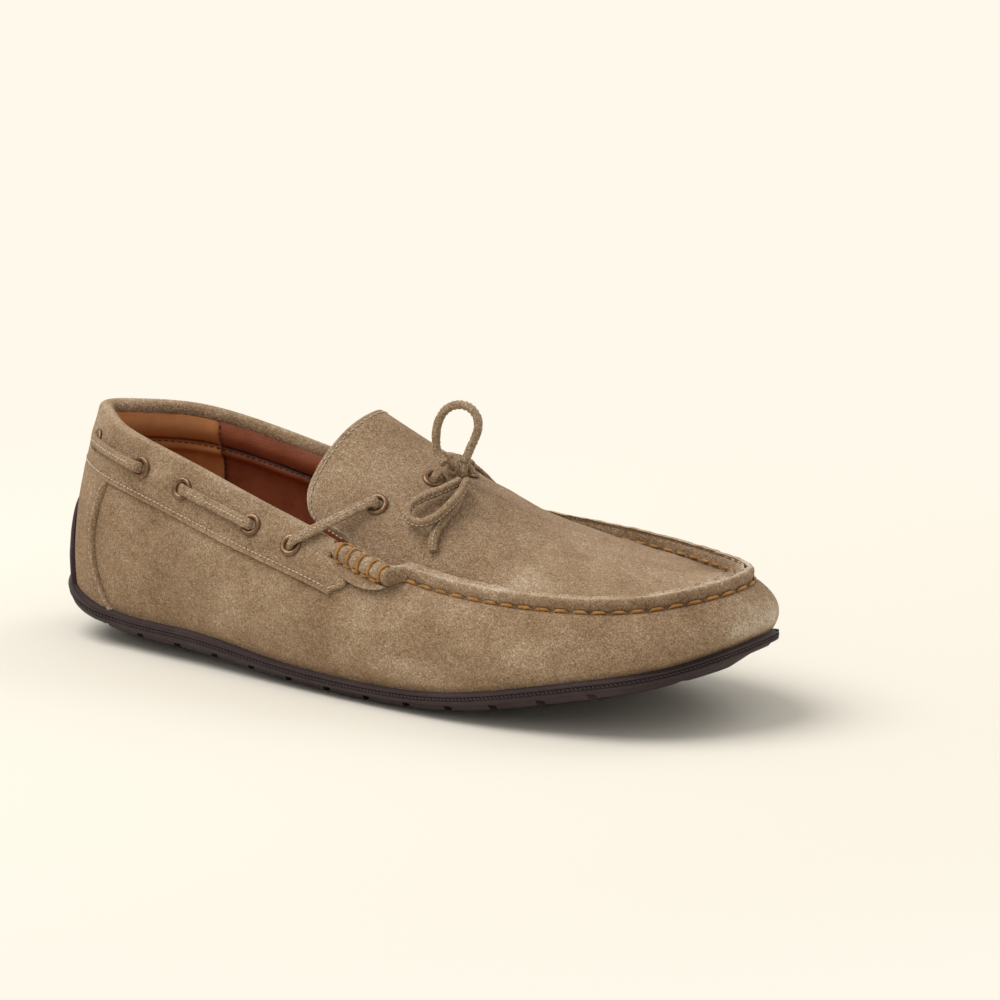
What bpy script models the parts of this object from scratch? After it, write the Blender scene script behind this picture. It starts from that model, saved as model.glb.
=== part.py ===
"""A right-foot driving moccasin: +X to the toe, +Z up, lateral side at -Y, metres."""
from math import cos, pi, sin

import bmesh
import bpy
import numpy as np

MM = 0.001
ORIGIN = np.array([141.2, -1.8, 0.0])   # middle of the outline on the ground
GAP = 0.3
SUEDE = 1.2          # collar, heel cover and patch leather
VAMP = 1.6           # vamp leather
APRON = 1.4          # apron and tongue leather
LIP = 4.5            # height of the raised moccasin seam
HINGE_P = 0.08       # row of the apron surface where the free flap starts
LACE_W, LACE_T = 3.6, 1.6
BOW_W, BOW_T = 3.0, 2.2    # the bow's lace is squeezed rounder
EYE_HOLE, EYE_BARREL, EYE_FLANGE, EYE_CUT = 2.2, 2.55, 4.0, 2.85
CHANNEL_S = 10.5     # the eyelets sit this far below the topline

# One row per station round the shoe: heel, lateral side, toe, medial side.
# feather x y z | top x y z | bulge | inward turn in degrees | tread edge z
STATIONS = np.array([
    [4, 0.0, 24.0, 8.5, 0.0, 81.5, 1.0, 30, 13.0],
    [10.5, -20.5, 19.0, 19.5, -13.5, 81.0, 0.8, 30, 8.5],
    [36, -30.5, 12.5, 37, -27.0, 79.0, 4.0, 35, 4.5],
    [70, -36.0, 12.0, 68, -32.0, 71.5, 5.0, 40, 3.5],
    [104, -41.5, 9.0, 100, -35.0, 62.5, 6.0, 45, 1.5],
    [136, -46.5, 7.5, 131, -37.5, 54.0, 6.0, 50, 0.5],
    [168, -50.5, 8.0, 160, -40.5, 45.5, 5.0, 55, 1.0],
    [200, -52.0, 12.0, 192, -42.5, 42.0, 4.0, 60, 4.5],
    [236, -47.0, 19.5, 224, -39.0, 41.5, 3.0, 55, 12.0],
    [265, -31.0, 25.5, 254, -25.0, 43.0, 3.0, 50, 18.5],
    [280, 3.0, 31.0, 273, 4.0, 47.5, 3.0, 45, 25.0],
    [268, 29.0, 27.0, 258, 27.0, 46.5, 3.0, 50, 20.0],
    [241, 43.5, 20.5, 229, 38.5, 46.5, 3.0, 55, 13.0],
    [205, 48.5, 13.0, 197, 41.5, 48.0, 4.0, 60, 5.5],
    [170, 42.5, 8.5, 163, 39.5, 50.5, 5.0, 55, 1.5],
    [136, 33.0, 7.5, 132, 37.0, 57.0, 6.0, 50, 1.0],
    [102, 28.5, 9.0, 101, 34.0, 63.5, 6.0, 45, 1.5],
    [68, 30.0, 12.0, 68, 31.5, 71.0, 5.0, 40, 3.5],
    [34, 29.5, 13.0, 36, 27.0, 77.5, 4.0, 35, 4.5],
    [9.5, 19.5, 19.0, 18, 13.0, 80.5, 1.5, 30, 8.5],
])
RING = len(STATIONS)


# ---------------------------------------------------------------- surfaces
def tangents(rows):
    n = len(rows)
    m = 4 * np.eye(n) + np.roll(np.eye(n), 1, 1) + np.roll(np.eye(n), -1, 1)
    return np.linalg.solve(m, 3 * (np.roll(rows, -1, 0) - np.roll(rows, 1, 0)))


SLOPES = tangents(STATIONS)


def station(t):
    """Closed smooth interpolation of the stations at any t."""
    t = np.mod(np.asarray(t, float), RING)
    i = np.floor(t).astype(int) % RING
    j, u = (i + 1) % RING, (t - np.floor(t))[..., None]
    return (STATIONS[i] * (2 * u**3 - 3 * u**2 + 1) + SLOPES[i] * (u**3 - 2 * u**2 + u)
            + STATIONS[j] * (3 * u**2 - 2 * u**3) + SLOPES[j] * (u**3 - u**2))


def sideways(t, col):
    """Horizontal unit vector pointing out of the ring; col 0 feather, 3 top."""
    step = station(np.asarray(t) + 0.03) - station(np.asarray(t) - 0.03)
    out = np.stack([step[..., col + 1], -step[..., col], 0 * step[..., 0]], -1)
    return out / np.linalg.norm(out, axis=-1, keepdims=True)


def wall(t, v):
    """Outer skin of the upper: v runs 0 at the feather line to 1 at the top."""
    c = station(t)
    th = np.radians(c[..., 7])
    w = (1 - np.cos(th * v)) / (1 - np.cos(th))
    z = np.sin(th * v) / np.sin(th)
    vb = np.clip(v, 0, 1)
    bulge = c[..., 6] * np.sin(pi * vb**0.85)
    out = sideways(t, 0)
    return np.stack([
        c[..., 0] * (1 - w) + c[..., 3] * w + out[..., 0] * bulge,
        c[..., 1] * (1 - w) + c[..., 4] * w + out[..., 1] * bulge,
        c[..., 2] * (1 - z) + c[..., 5] * z], -1)


def unit(a):
    return a / np.linalg.norm(a, axis=-1, keepdims=True)


def wall_normal(t, v):
    dt = wall(t + 0.03, v) - wall(t - 0.03, v)
    dv = wall(t, v + 0.01) - wall(t, v - 0.01)
    return unit(np.cross(dt, dv))


def height(t):
    """Length of the skin from feather to top, in mm."""
    v = np.linspace(0, 1, 17)
    p = wall(np.asarray(t, float)[..., None], v)
    return np.linalg.norm(np.diff(p, axis=-2), axis=-1).sum(-1)


def on_wall(t, s, d):
    """Point s mm below the top edge along the skin and d mm outside it."""
    t, s, d = np.broadcast_arrays(np.asarray(t, float), s, d)
    v = 1 - s / height(t)
    return wall(t, v) + wall_normal(t, v) * d[..., None]


def smooth(x, a, b):
    u = np.clip((np.asarray(x, float) - a) / (b - a), 0, 1)
    return u * u * (3 - 2 * u)


def front(t, a, b):
    """0 in the quarters and 1 round the forefoot; a..b is the lateral ramp."""
    t = np.mod(t, RING)
    return smooth(np.minimum(t, RING - t), a, b)


def top(t):
    return station(t)[..., 3:6]


# Across the apron: q -> share of the half width, and how far the flap leans back.
Q_KNOTS = np.array([-1.0, -0.85, -0.7, -0.5, -0.3, 0, 0.3, 0.5, 0.7, 0.85, 1.0])
Q_WIDTH = np.array([-1.0, -0.975, -0.90, -0.74, -0.45, 0, 0.45, 0.74, 0.90, 0.975, 1.0])
Q_BACK = np.array([4.0, 14.0, 18.0, 17.0, 12.5, 8.0, 12.5, 17.0, 18.0, 14.0, 4.0])
CROWN_T = np.array([5, 5.5, 6, 7, 8, 9, 10])
CROWN_H = np.array([36.5, 30.0, 24.5, 12.5, 6.5, 2.5, 0.5])


def curve(x, xs, ys):
    """Smooth interpolation of a short table."""
    m = np.gradient(ys, xs)
    i = np.clip(np.searchsorted(xs, x, side="right") - 1, 0, len(xs) - 2)
    h = xs[i + 1] - xs[i]
    u = (x - xs[i]) / h
    return (ys[i] * (2 * u**3 - 3 * u**2 + 1) + m[i] * h * (u**3 - 2 * u**2 + u)
            + ys[i + 1] * (3 * u**2 - 2 * u**3) + m[i + 1] * h * (u**3 - u**2))


def apron_edge(p, side):
    """Edge of the apron sheet just inside the raised seam; side -1 lateral."""
    t = 5 + 4.74 * p
    ring_t = t if side < 0 else RING - t
    inset = 8.0 + (LIP - 1.3 - 8.0) * smooth(t, 5.0, 5.55)
    down = -1.0 * smooth(t, 5.4, 6.1)
    return top(ring_t) - sideways(ring_t, 3) * inset[..., None] + np.stack(
        [0 * p, 0 * p, down], -1)


def apron(p, q):
    """Upper skin of the apron and tongue: p 0 rear to 1 toe, q -1 lateral to 1."""
    p, q = np.broadcast_arrays(np.asarray(p, float), np.asarray(q, float))
    a, b = apron_edge(p, -1), apron_edge(p, 1)
    w = curve(q, Q_KNOTS, Q_WIDTH)
    share = (1 + w) / 2
    base = a + (b - a) * share[..., None]
    rise = curve(5 + 4.74 * p, CROWN_T, CROWN_H) * np.clip(1 - w**2, 0, 1) ** 0.75
    back = curve(q, Q_KNOTS, Q_BACK) * np.clip(1 - p / 0.25, 0, 1) ** 1.5
    return base + np.stack([-back, 0 * p, rise], -1)


def apron_normal(p, q):
    dp = apron(p + 0.004, q) - apron(p - 0.004, q)
    dq = apron(p, np.clip(q + 0.01, -1, 1)) - apron(p, np.clip(q - 0.01, -1, 1))
    return unit(np.cross(dp, dq))


def on_apron(p, q, d):
    p, q, d = np.broadcast_arrays(np.asarray(p, float), q, d)
    return apron(p, q) + apron_normal(p, q) * d[..., None]


# ---------------------------------------------------------------- bodies
def material(name, colour, rough, metal=0.0):
    mat = bpy.data.materials.get(name)
    if mat is None:
        mat = bpy.data.materials.new(name)
        mat.use_nodes = True
        shader = mat.node_tree.nodes["Principled BSDF"]
        shader.inputs["Base Color"].default_value = (*colour, 1)
        shader.inputs["Roughness"].default_value = rough
        shader.inputs["Metallic"].default_value = metal
    return mat


MATERIALS = {
    "suede": ((0.31, 0.22, 0.13), 0.95),
    "suede_edge": ((0.36, 0.26, 0.16), 0.95),
    "lining_red": ((0.24, 0.06, 0.02), 0.55),
    "lining_tan": ((0.38, 0.17, 0.06), 0.8),
    "rubber": ((0.05, 0.03, 0.03), 0.6),
    "thread": ((0.55, 0.27, 0.06), 0.7),
    "board": ((0.30, 0.22, 0.14), 0.9),
    "foam": ((0.75, 0.70, 0.60), 1.0),
    "lace": ((0.33, 0.25, 0.16), 0.95),
    "brass": ((0.30, 0.17, 0.10), 0.35, 1.0),
}


def add(name, points, faces, mat):
    """One closed body from points in mm, its faces turned to point out."""
    points = (np.asarray(points, float).reshape(-1, 3) - ORIGIN) * MM
    mesh = bpy.data.meshes.new(name)
    mesh.from_pydata(points.tolist(), [], [list(map(int, f)) for f in faces])
    mesh.validate()
    bm = bmesh.new()
    bm.from_mesh(mesh)
    bmesh.ops.triangulate(bm, faces=[f for f in bm.faces if len(f.verts) > 3])
    if bm.calc_volume(signed=True) < 0:
        bmesh.ops.reverse_faces(bm, faces=bm.faces)
    bm.to_mesh(mesh)
    bm.free()
    mesh.materials.append(material(mat, *MATERIALS[mat]))
    obj = bpy.data.objects.new(name, mesh)
    bpy.context.scene.collection.objects.link(obj)
    return obj


def slab(name, a, b, mat, wrap=False):
    """Closed body between two grids of points; wrap joins its first and last row."""
    ni, nj = a.shape[:2]
    last = ni if wrap else ni - 1

    def at(side, i, j):
        return side * ni * nj + (i % ni) * nj + j

    faces = []
    for i in range(last):
        for j in range(nj - 1):
            quad = (i, j), (i + 1, j), (i + 1, j + 1), (i, j + 1)
            faces.append([at(0, *c) for c in quad])
            faces.append([at(1, *c) for c in reversed(quad)])
        for j, order in ((0, 1), (nj - 1, -1)):
            rim = [at(0, i, j), at(1, i, j), at(1, i + 1, j), at(0, i + 1, j)]
            faces.append(rim[::order])
    if not wrap:
        for i, order in ((0, -1), (ni - 1, 1)):
            for j in range(nj - 1):
                cap = [at(0, i, j), at(1, i, j), at(1, i, j + 1), at(0, i, j + 1)]
                faces.append(cap[::order])
    return add(name, np.concatenate([a.reshape(-1, 3), b.reshape(-1, 3)]), faces, mat)


def rings(name, loops, mat, closed=False):
    """Closed body through a list of equal loops of points, capped at both ends."""
    n, k = len(loops), len(loops[0])
    faces = [[i * k + j, i * k + (j + 1) % k, (i + 1) % n * k + (j + 1) % k,
              (i + 1) % n * k + j]
             for i in range(n if closed else n - 1) for j in range(k)]
    if not closed:
        faces += [list(range(k))[::-1], [(n - 1) * k + j for j in range(k)]]
    return add(name, np.concatenate(loops), faces, mat)


def tube(name, path, wide, thick, mat, side=None, sides=8, closed=False, taper=None):
    """Oval cord along a path in mm; side holds the direction of its width."""
    path = np.asarray(path, float)
    if closed:
        run = np.roll(path, -1, 0) - np.roll(path, 1, 0)
    else:
        run = np.gradient(path, axis=0)
    run = unit(run)
    if side is None:
        side = np.tile([0.0, 0.0, 1.0], (len(path), 1))
    side = unit(side - run * (side * run).sum(1)[:, None])
    other = np.cross(run, side)
    taper = np.ones(len(path)) if taper is None else taper
    loops = []
    for at, s, o, k in zip(path, side, other, taper):
        a = 2 * pi * np.arange(sides) / sides
        loops.append(at + k * (np.outer(np.cos(a), s) * wide
                               + np.outer(np.sin(a), o) * thick) / 2)
    return rings(name, loops, mat, closed)


def cut(obj, cutter):
    cutter.hide_render = True
    cutter.display_type = "WIRE"
    mod = obj.modifiers.new("cut_" + cutter.name, "BOOLEAN")
    mod.operation, mod.solver, mod.object = "DIFFERENCE", "EXACT", cutter


def smooth_path(points, n):
    """Open smooth curve through a few points."""
    p = np.asarray(points, float)
    x = np.concatenate([[0], np.cumsum(np.linalg.norm(np.diff(p, axis=0), axis=1) ** 0.6)])
    u = np.linspace(0, x[-1], n)
    return np.stack([curve(u, x, p[:, k]) for k in range(3)], 1)


# ---------------------------------------------------------------- upper
UP = np.array([0.0, 0.0, 1.0])


def span(a, b, n):
    return np.linspace(a, b, n)[:, None]


def lift(t):
    """Height of the raised seam: low beside the flap, full round the forefoot."""
    return 0.8 + (LIP - 0.8) * front(t, 5.78, 6.15)


def base_z(t):
    """Height of the insole edge: the feather line, level round the heel."""
    heel = 1 - front(t, 1.0, 2.0)
    return station(t)[..., 2] * (1 - heel) + 12.5 * heel


def below(t, out, z):
    """Point beside the feather line at height z, tucked in as it gets lower."""
    f = wall(t, np.zeros_like(t))
    drop = np.clip(f[..., 2] - z - 3, 0, None)
    p = f + sideways(t, 0) * (out - 0.4 * drop)[..., None]
    p[..., 2] = z
    return p


def insole_z(x, y):
    """Height of the insole at a point of the plan, between the two feather lines."""
    t = np.linspace(0, RING / 2, 80)
    near, far = station(t), station(RING - t)
    z_a, z_b = np.interp(x, near[:, 0], base_z(t)), np.interp(x, far[:, 0], base_z(RING - t))
    y_a, y_b = np.interp(x, near[:, 0], near[:, 1]), np.interp(x, far[:, 0], far[:, 1])
    share = np.clip((y - y_a) / np.maximum(y_b - y_a, 8.0), 0, 1)
    return z_a + (z_b - z_a) * share


def floor(t, out, up):
    """Point on the insole surface out mm from the feather line and up mm over it."""
    p = below(t, out + 0 * t, base_z(t) - 3)
    p[..., 2] = insole_z(p[..., 0], p[..., 1]) + up
    return p


def band_end(s):
    return 5.06 + 0.30 * smooth(s, 8.0, 12.5) - 0.24 * smooth(s, 13.0, 21.5)


def make_vamp():
    t = np.linspace(0.07, RING - 0.07, 54)
    up_to = 15.8 * (1 - front(t, 4.72, 5.35))
    outer = [floor(t, -10.0, -4.0), floor(t, -1.3, -4.0), floor(t, 0.0, -3.2)]
    inner = [floor(t, -10.0, -2.4), floor(t, -2.6, -2.4), floor(t, -1.6, -1.8)]
    tall = height(t)
    for k in np.linspace(0, 1, 7):
        s = tall * (1 - k) + up_to * k
        outer.append(on_wall(t, s, 0.0))
        inner.append(on_wall(t, s, -VAMP))
    f = front(t, 5.3, 6.1)[:, None]
    edge = on_wall(t, up_to, 0.0)
    way = unit(unit(on_wall(t, up_to - 1, 0.0) - edge) * (1 - f) + UP * f)
    into = unit(wall_normal(t, 1 - up_to / tall) * (1 - f) + sideways(t, 3) * f)
    for k in (0.5, 1.0):
        outer.append(edge + way * (lift(t) * k)[:, None])
        inner.append(edge + way * (lift(t) * k)[:, None] - into * VAMP)
    slab("vamp", np.stack(outer, 1), np.stack(inner, 1), "suede")


def make_wall_slab(name, t0, t1, n, s, outer, inner, mat):
    """Sheet on the wall; s, outer and inner are rows or functions of the t grid."""
    t = span(t0, t1, n)
    rows = [f(t) if callable(f) else np.asarray(f, float)[None, :] for f in (s, outer, inner)]
    slab(name, on_wall(t, rows[0], rows[1]), on_wall(t, rows[0], rows[2]), mat)


def collar_edge(t):
    return 22.0 - 1.5 * front(t, 3, 5)


def make_collar():
    u = span(-1, 1, 34)
    low = np.array([1, 0.8, 0.6, 0.4, 0.2])
    s_out = np.concatenate([low * 21, [1.6, 0.2, -0.9, 0.2, 1.6, 5.0]])
    s_in = np.concatenate([low * 21, [1.8, 0.9, 0.3, 1.0, 1.8, 5.0]])
    d_out = np.array([1.5] * 6 + [1.1, -1.9, -4.9, -5.3, -5.3])
    d_in = np.array([0.3] * 6 + [0.2, -1.9, -3.9, -4.4, -4.4])
    t = u * band_end(np.clip(s_out, 0, 21))[None, :]
    stretch = collar_edge(t) / 21
    slab("collar_band", on_wall(t, np.where(s_out > 4, s_out * stretch, s_out), d_out[None]),
         on_wall(t, np.where(s_in > 4, s_in * stretch, s_in), d_in[None]), "suede")
    t = span(-4.25, 4.25, 28)
    outer_s, outer_d = [1.2, 1.9, 6.2, 7.2, 10.0, 13.5], [-1.5, -0.2, -0.1, -3.0, -3.0, -3.0]
    inner_s, inner_d = [1.2, 2.2, 6.2, 7.2, 10.0, 13.5], [-2.3, -4.0, -4.1, -4.1, -4.1, -4.1]
    slab("collar_foam", on_wall(t, np.array([outer_s]), np.array([outer_d])),
         on_wall(t, np.array([inner_s]), np.array([inner_d])), "foam")


def lining_path(deep):
    """Depths of a lining that leaves the collar padding and meets the wall."""
    s = [5.5, 9.5, 13.5, 16.5, 19.5]
    d = np.array([-4.4, -4.45, -4.4, (-4.4 + deep) / 2, deep])
    def path(t):
        tall = height(t)
        return np.concatenate([np.tile([s], (len(t), 1)),
                               19.5 + (tall - 19.5) * np.array([[0.33, 0.66, 1.0]])], 1)
    return path, np.concatenate([d, [deep] * 3])


def make_linings():
    path, d = lining_path(-2.0)
    make_wall_slab("quarter_lining_lateral", 2.16, 5.34, 14, path, d, d - 0.9, "lining_red")
    make_wall_slab("quarter_lining_medial", -5.34, -2.16, 14, path, d, d - 0.9, "lining_red")
    path, d = lining_path(-3.4)
    make_wall_slab("heel_lining", -2.1, 2.1, 18, path, d, d - 0.9, "lining_tan")
    make_wall_slab("heel_stiffener", -2.05, 2.05, 18,
                   lambda t: 17.8 + (height(t) - 17.8) * np.linspace(0, 1, 5)[None, :],
                   [-2.1] * 5, [-3.0] * 5, "board")
    make_wall_slab("heel_cover", -1.5, 1.5, 20,
                   lambda t: collar_edge(t) + 0.4
                   + (height(t) - collar_edge(t) - 0.4) * np.linspace(0, 1, 7)[None, :],
                   [0.3 + SUEDE] * 7, [0.3] * 7, "suede")
    make_wall_slab("vamp_lining", 5.5, 14.5, 32,
                   lambda t: 3.2 + (height(t) - 3.2) * np.linspace(0, 1, 6)[None, :],
                   [-2.15] * 6, [-2.95] * 6, "lining_red")


def apron_slab(name, p0, p1, n, thick, depth, reach, lips, mat):
    """Sheet on the apron surface; depth may grow toward the rear, lips turn up."""
    p = span(p0, p1, n)
    q = reach * np.sin(np.linspace(-pi / 2, pi / 2, 13))[None, :]
    deep = depth(p) if callable(depth) else depth
    a, b = on_apron(p, q, -deep), on_apron(p, q, -deep - thick)
    if not lips:
        return slab(name, a, b, mat)
    rise = 0.3 + (LIP + 0.7) * smooth(5 + 4.74 * p, 5.83, 6.2)
    outs, ins = [], []
    for side, k in ((-1, 0), (1, -1)):
        t = 5 + 4.74 * p[:, 0]
        out = sideways(t if side < 0 else RING - t, 3)
        outs.append([a[:, k] + UP * rise * h for h in (1.0, 0.5)])
        ins.append([b[:, k] + out * (thick * 0.1) + UP * (rise + thick) * h
                    + out * (thick * 0.9) for h in (1.0, 0.5)])
        b[:, k] += out * thick
    a = np.stack(outs[0] + [a[:, j] for j in range(13)] + outs[1][::-1], 1)
    b = np.stack(ins[0] + [b[:, j] for j in range(13)] + ins[1][::-1], 1)
    return slab(name, a, b, mat)


def make_apron():
    pocket = lambda p: 1.95 + 4.0 * (1 - smooth(p, 0.26, 0.36))
    nodes = [apron_slab("apron", HINGE_P + 0.003, 1.0, 22, APRON, 0.0, 1.0, True, "suede"),
             apron_slab("tongue", 0.0, HINGE_P - 0.014, 5, APRON, 0.0, 0.935, False, "suede")]
    apron_slab("apron_lining", HINGE_P + 0.004, 0.96, 17, 0.7, pocket, 0.9, False, "lining_red")
    apron_slab("tongue_lining", 0.004, HINGE_P - 0.016, 4, 0.7, 1.7, 0.92, False, "lining_red")
    return nodes


# ---------------------------------------------------------------- sole
def plate(name, inset, low, high, mat, t_end=None, n=40):
    """Sheet filling the insole outline; low and high are heights over base_z."""
    end = RING / 2 if t_end is None else t_end
    t = np.linspace(0.12, end - (0.14 if t_end is None else 0), n // 2)
    near, far = floor(t, -inset, 0.0), floor(RING - t, -inset, 0.0)
    share = np.array([0, 0.12, 0.5, 0.88, 1])[None, :, None]
    mid = near[:, None] * (1 - share) + far[:, None] * share
    x = mid[..., 0]
    return slab(name, mid + UP * high(x)[..., None], mid + UP * low(x)[..., None], mat)


def tread_z(x):
    """Height of the middle of the tread: flat underfoot, curling up at both ends."""
    x = np.asarray(x, float)
    return 18.9 * np.clip((x - 172) / 100, 0, None) ** 1.49 + 5.0 * np.clip((24 - x) / 20, 0, None) ** 2


def make_outsole():
    n = 66
    u = np.arange(n) / n
    t = RING * (u - 0.035 * np.sin(4 * pi * u))
    zero = 0 * t
    c = station(t)
    fz, zb = c[:, 2], c[:, 8]
    under = 2.1 - 1.75 * front(t, 1.55, 2.0)
    near = np.minimum(t, RING - t)
    rise = 0.43 * np.sqrt(np.clip(1 - (near / 1.1) ** 2, 0, 1)) * (1 - smooth(near, 1.0, 1.1))
    thin = 1.0 * (1 - front(t, 0.9, 1.7))
    mid = (zb + 2.8 + fz) / 2

    def side(out, z):
        return below(t, under - 0.35 + out, z)

    def up_wall(k, d):
        v = rise * k
        return wall(t, v) + wall_normal(t, np.maximum(v, 0.02)) * (under - 0.35 + d + zero)[:, None]

    flat = below(t, zero - 12.0, zb)
    flat[:, 2] = tread_z(flat[:, 0])
    rims = [flat, below(t, zero - 1.2, zb), below(t, zero + 0.3, zb + 0.7),
            below(t, zero + 0.6, zb + 2.4), side(1.9, zb + 3.0), side(2.4, mid - 0.9),
            side(1.7, mid), side(2.4, mid + 0.9), up_wall(0.0, 2.3 - thin), up_wall(0.5, 2.6 - thin),
            up_wall(1.0, 2.2 - thin), up_wall(1.0, 0.35), up_wall(0.5, 0.35), up_wall(0.0, 0.35),
            floor(t, under, -3.0), floor(t, -1.3, -4.35), floor(t, -12.0, -4.35)]
    rims[10] = rims[10] + UP * 0.5
    rims[11] = rims[11] + UP * 0.3
    k = len(rims)
    points = np.concatenate(rims)
    faces = []
    for j in range(k - 1):
        for i in range(n):
            i2 = (i + 1) % n
            faces.append([j * n + i, j * n + i2, (j + 1) * n + i2, (j + 1) * n + i])
    for base, flip in ((0, 1), ((k - 1) * n, -1)):
        faces.append([base, base + 1, base + n - 1][::-flip])
        faces.append([base + n // 2, base + n // 2 + 1, base + n // 2 - 1][::-flip])
        for i in range(1, n // 2 - 1):
            ring = [base + i, base + i + 1, base + n - i - 1, base + n - i]
            faces.append(ring[::-flip])
    sole = add("outsole", points, faces, "rubber")
    cutters = []
    lateral, medial = t <= RING / 2, t >= RING / 2
    for x in np.arange(26.0, 262.0, 18.0):
        edge_a = np.interp(x, c[lateral, 0], zb[lateral])
        edge_b = np.interp(x, c[medial, 0][::-1], zb[medial][::-1])
        y_a = np.interp(x, c[lateral, 0], c[lateral, 1])
        y_b = np.interp(x, c[medial, 0][::-1], c[medial, 1][::-1])
        z0 = float(tread_z(x))
        tops = [(y_a - 8, edge_a + 2.2), (y_a, edge_a + 2.2), (y_a + 13, z0 + 2.2),
                (y_b - 13, z0 + 2.2), (y_b, edge_b + 2.2), (y_b + 8, edge_b + 2.2)]
        loop = tops + [(y_b + 8, -12.0), (y_a - 8, -12.0)]
        cutters.append([[(x + h, y, z) for y, z in loop] for h in (-1.5, 1.5)])
    loops = []
    for k, (a, b) in enumerate(cutters):
        box = rings(f"groove_{k}", [np.array(a), np.array(b)], "rubber")
        cut(sole, box)
    return sole


def make_insole():
    heel = lambda x: 1 - smooth(x, 78, 100)
    plate("insole_board", 5.4, lambda x: -2.0 + 0 * x, lambda x: -0.6 + 0 * x, "board")
    plate("heel_cushion", 8.0, lambda x: -0.3 + 0 * x, lambda x: 2.2 + 0 * x, "foam",
          t_end=2.85, n=20)
    plate("sock_liner", 6.0, lambda x: -0.3 + 2.8 * heel(x), lambda x: 0.9 + 2.8 * heel(x),
          "lining_tan")


# ---------------------------------------------------------------- trim
def round_cord(name, path, radius, mat, sides=6, closed=False):
    return tube(name, path, 2 * radius, 2 * radius, mat, sides=sides, closed=closed)


def wrap_path(bands):
    """Thread that crosses a roll in bands: share of the length, and angle round it."""
    along, swing, corner = [], [], np.linspace(0, pi / 2, 4)
    for k in range(bands):
        way = 1 if k % 2 else -1
        for a in np.linspace(-82, 82, 6):
            along.append(k)
            swing.append(way * a)
        if k < bands - 1:
            for c in corner[1:]:
                along.append(k + 0.26 * (1 - cos(c)))
                swing.append(way * (82 + 18 * sin(c)))
            for c in corner[::-1][:-1]:
                along.append(k + 1 - 0.26 * (1 - cos(c)))
                swing.append(way * (82 + 18 * sin(c)))
    return np.array(along) / (bands - 1), np.radians(swing)


def make_rolls():
    """Rolled leather over the seam beside the flap, its patch and its wraps."""
    radius = 3.0
    for tag, side in (("lateral", 1), ("medial", -1)):
        t = side * np.linspace(5.14, 5.98, 14)
        centre = on_wall(t, 4.2, 3.85)
        ends = np.sqrt(np.clip(1 - (2 * np.linspace(0, 1, 14) - 1) ** 8, 0.2, 1))
        tube(f"beefroll_{tag}", centre, 2 * radius, 2 * radius, "suede", sides=10, taper=ends)
        along, swing = wrap_path(5)
        t = side * (5.24 + 0.64 * along)
        mid = on_wall(t, 4.2, 3.85)
        run = unit(on_wall(t + side * 0.02, 4.2, 3.85)
                   - on_wall(t - side * 0.02, 4.2, 3.85))
        out = wall_normal(t, 1 - 4.2 / height(t))
        out = unit(out - run * (out * run).sum(1)[:, None])
        across = np.cross(run, out) * side
        path = mid + (radius + 0.85) * (out * np.cos(swing)[:, None] + across * np.sin(swing)[:, None])
        round_cord(f"beefroll_thread_{tag}", path, 0.42, "thread", sides=4)
        u = np.linspace(0, 1, 12)[:, None]
        t = side * (5.02 + 0.93 * u)
        reach = 12.6 * np.sin(pi * (0.16 + 0.72 * u)) ** 0.5
        s = 8.6 + (reach - 8.6) * np.linspace(0, 1, 4)[None, :]
        slab(f"roll_patch_{tag}", on_wall(t, s, 2.7), on_wall(t, s, 1.8), "suede_edge")


def make_seam_threads():
    """Stitches along both faces of the raised seam, each one continuous cord."""
    k = np.linspace(0, 1, 80)
    bead = 0.85 + 0.15 * np.cos(pi * np.arange(80))
    t = 6.04 + 7.92 * k
    tube("seam_thread_outer", on_wall(t, 0.7, 1.0) , 1.2, 1.1, "thread", sides=4, taper=bead)
    p = np.concatenate([0.38 + 0.54 * k[::2], (0.38 + 0.54 * k[::2])[::-1]])
    q = np.concatenate([-1 + 0 * k[::2], 1 + 0 * k[::2]])
    a = apron_edge(p, -1)
    b = apron_edge(p, 1)
    into = np.where(q[:, None] < 0, -sideways(5 + 4.74 * p, 3), -sideways(RING - 5 - 4.74 * p, 3))
    path = np.where(q[:, None] < 0, a, b) + into * 1.15 + UP * 2.2
    tube("seam_thread_inner", path, 1.0, 1.0, "thread", sides=4, taper=bead)


# ---------------------------------------------------------------- lacing
COLLAR_X = (19.5, 47.5, 67.0, 99.2, 117.6)   # eyelets along each side, from the heel
TONGUE_PQ = {"outer_lateral": (0.124, -0.49), "inner_lateral": (0.178, -0.16),
             "inner_medial": (0.196, 0.14), "outer_medial": (0.124, 0.49)}


def side_t(x, side):
    """Station of the eyelet row at a distance x from the heel."""
    t = np.linspace(0.2, 6, 200)
    return side * float(np.interp(x, on_wall(side * t, CHANNEL_S, 0.0)[:, 0], t))


COLLAR_T = {side: [side_t(x, side) for x in COLLAR_X] for side in (1, -1)}


def frame_at(centre, axis):
    axis = unit(np.asarray(axis))
    a = unit(np.cross(axis, [0.3, 0.2, 1.0]))
    return np.asarray(centre), axis, a, np.cross(axis, a)


def eyelet(name, centre, axis, leather, slack):
    """Rolled metal eyelet through leather of this thickness; slack clears a bend."""
    o, z, x, y = frame_at(centre, axis)
    out, back = GAP + slack, -leather - GAP - slack
    profile = [(EYE_BARREL, out), (EYE_FLANGE - 0.1, out), (EYE_FLANGE, out + 0.3),
               (EYE_FLANGE - 0.5, out + 0.7), (EYE_BARREL + 0.2, out + 0.75),
               (EYE_HOLE, out + 0.3), (EYE_HOLE, back - 0.6), (3.4, back - 0.3),
               (EYE_BARREL, back)]
    loops = []
    for k in range(10):
        c, s = cos(2 * pi * k / 10), sin(2 * pi * k / 10)
        loops.append(np.array([o + r * (c * x + s * y) + h * z for r, h in profile]))
    rings(name, loops, "brass", closed=True)


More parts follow.
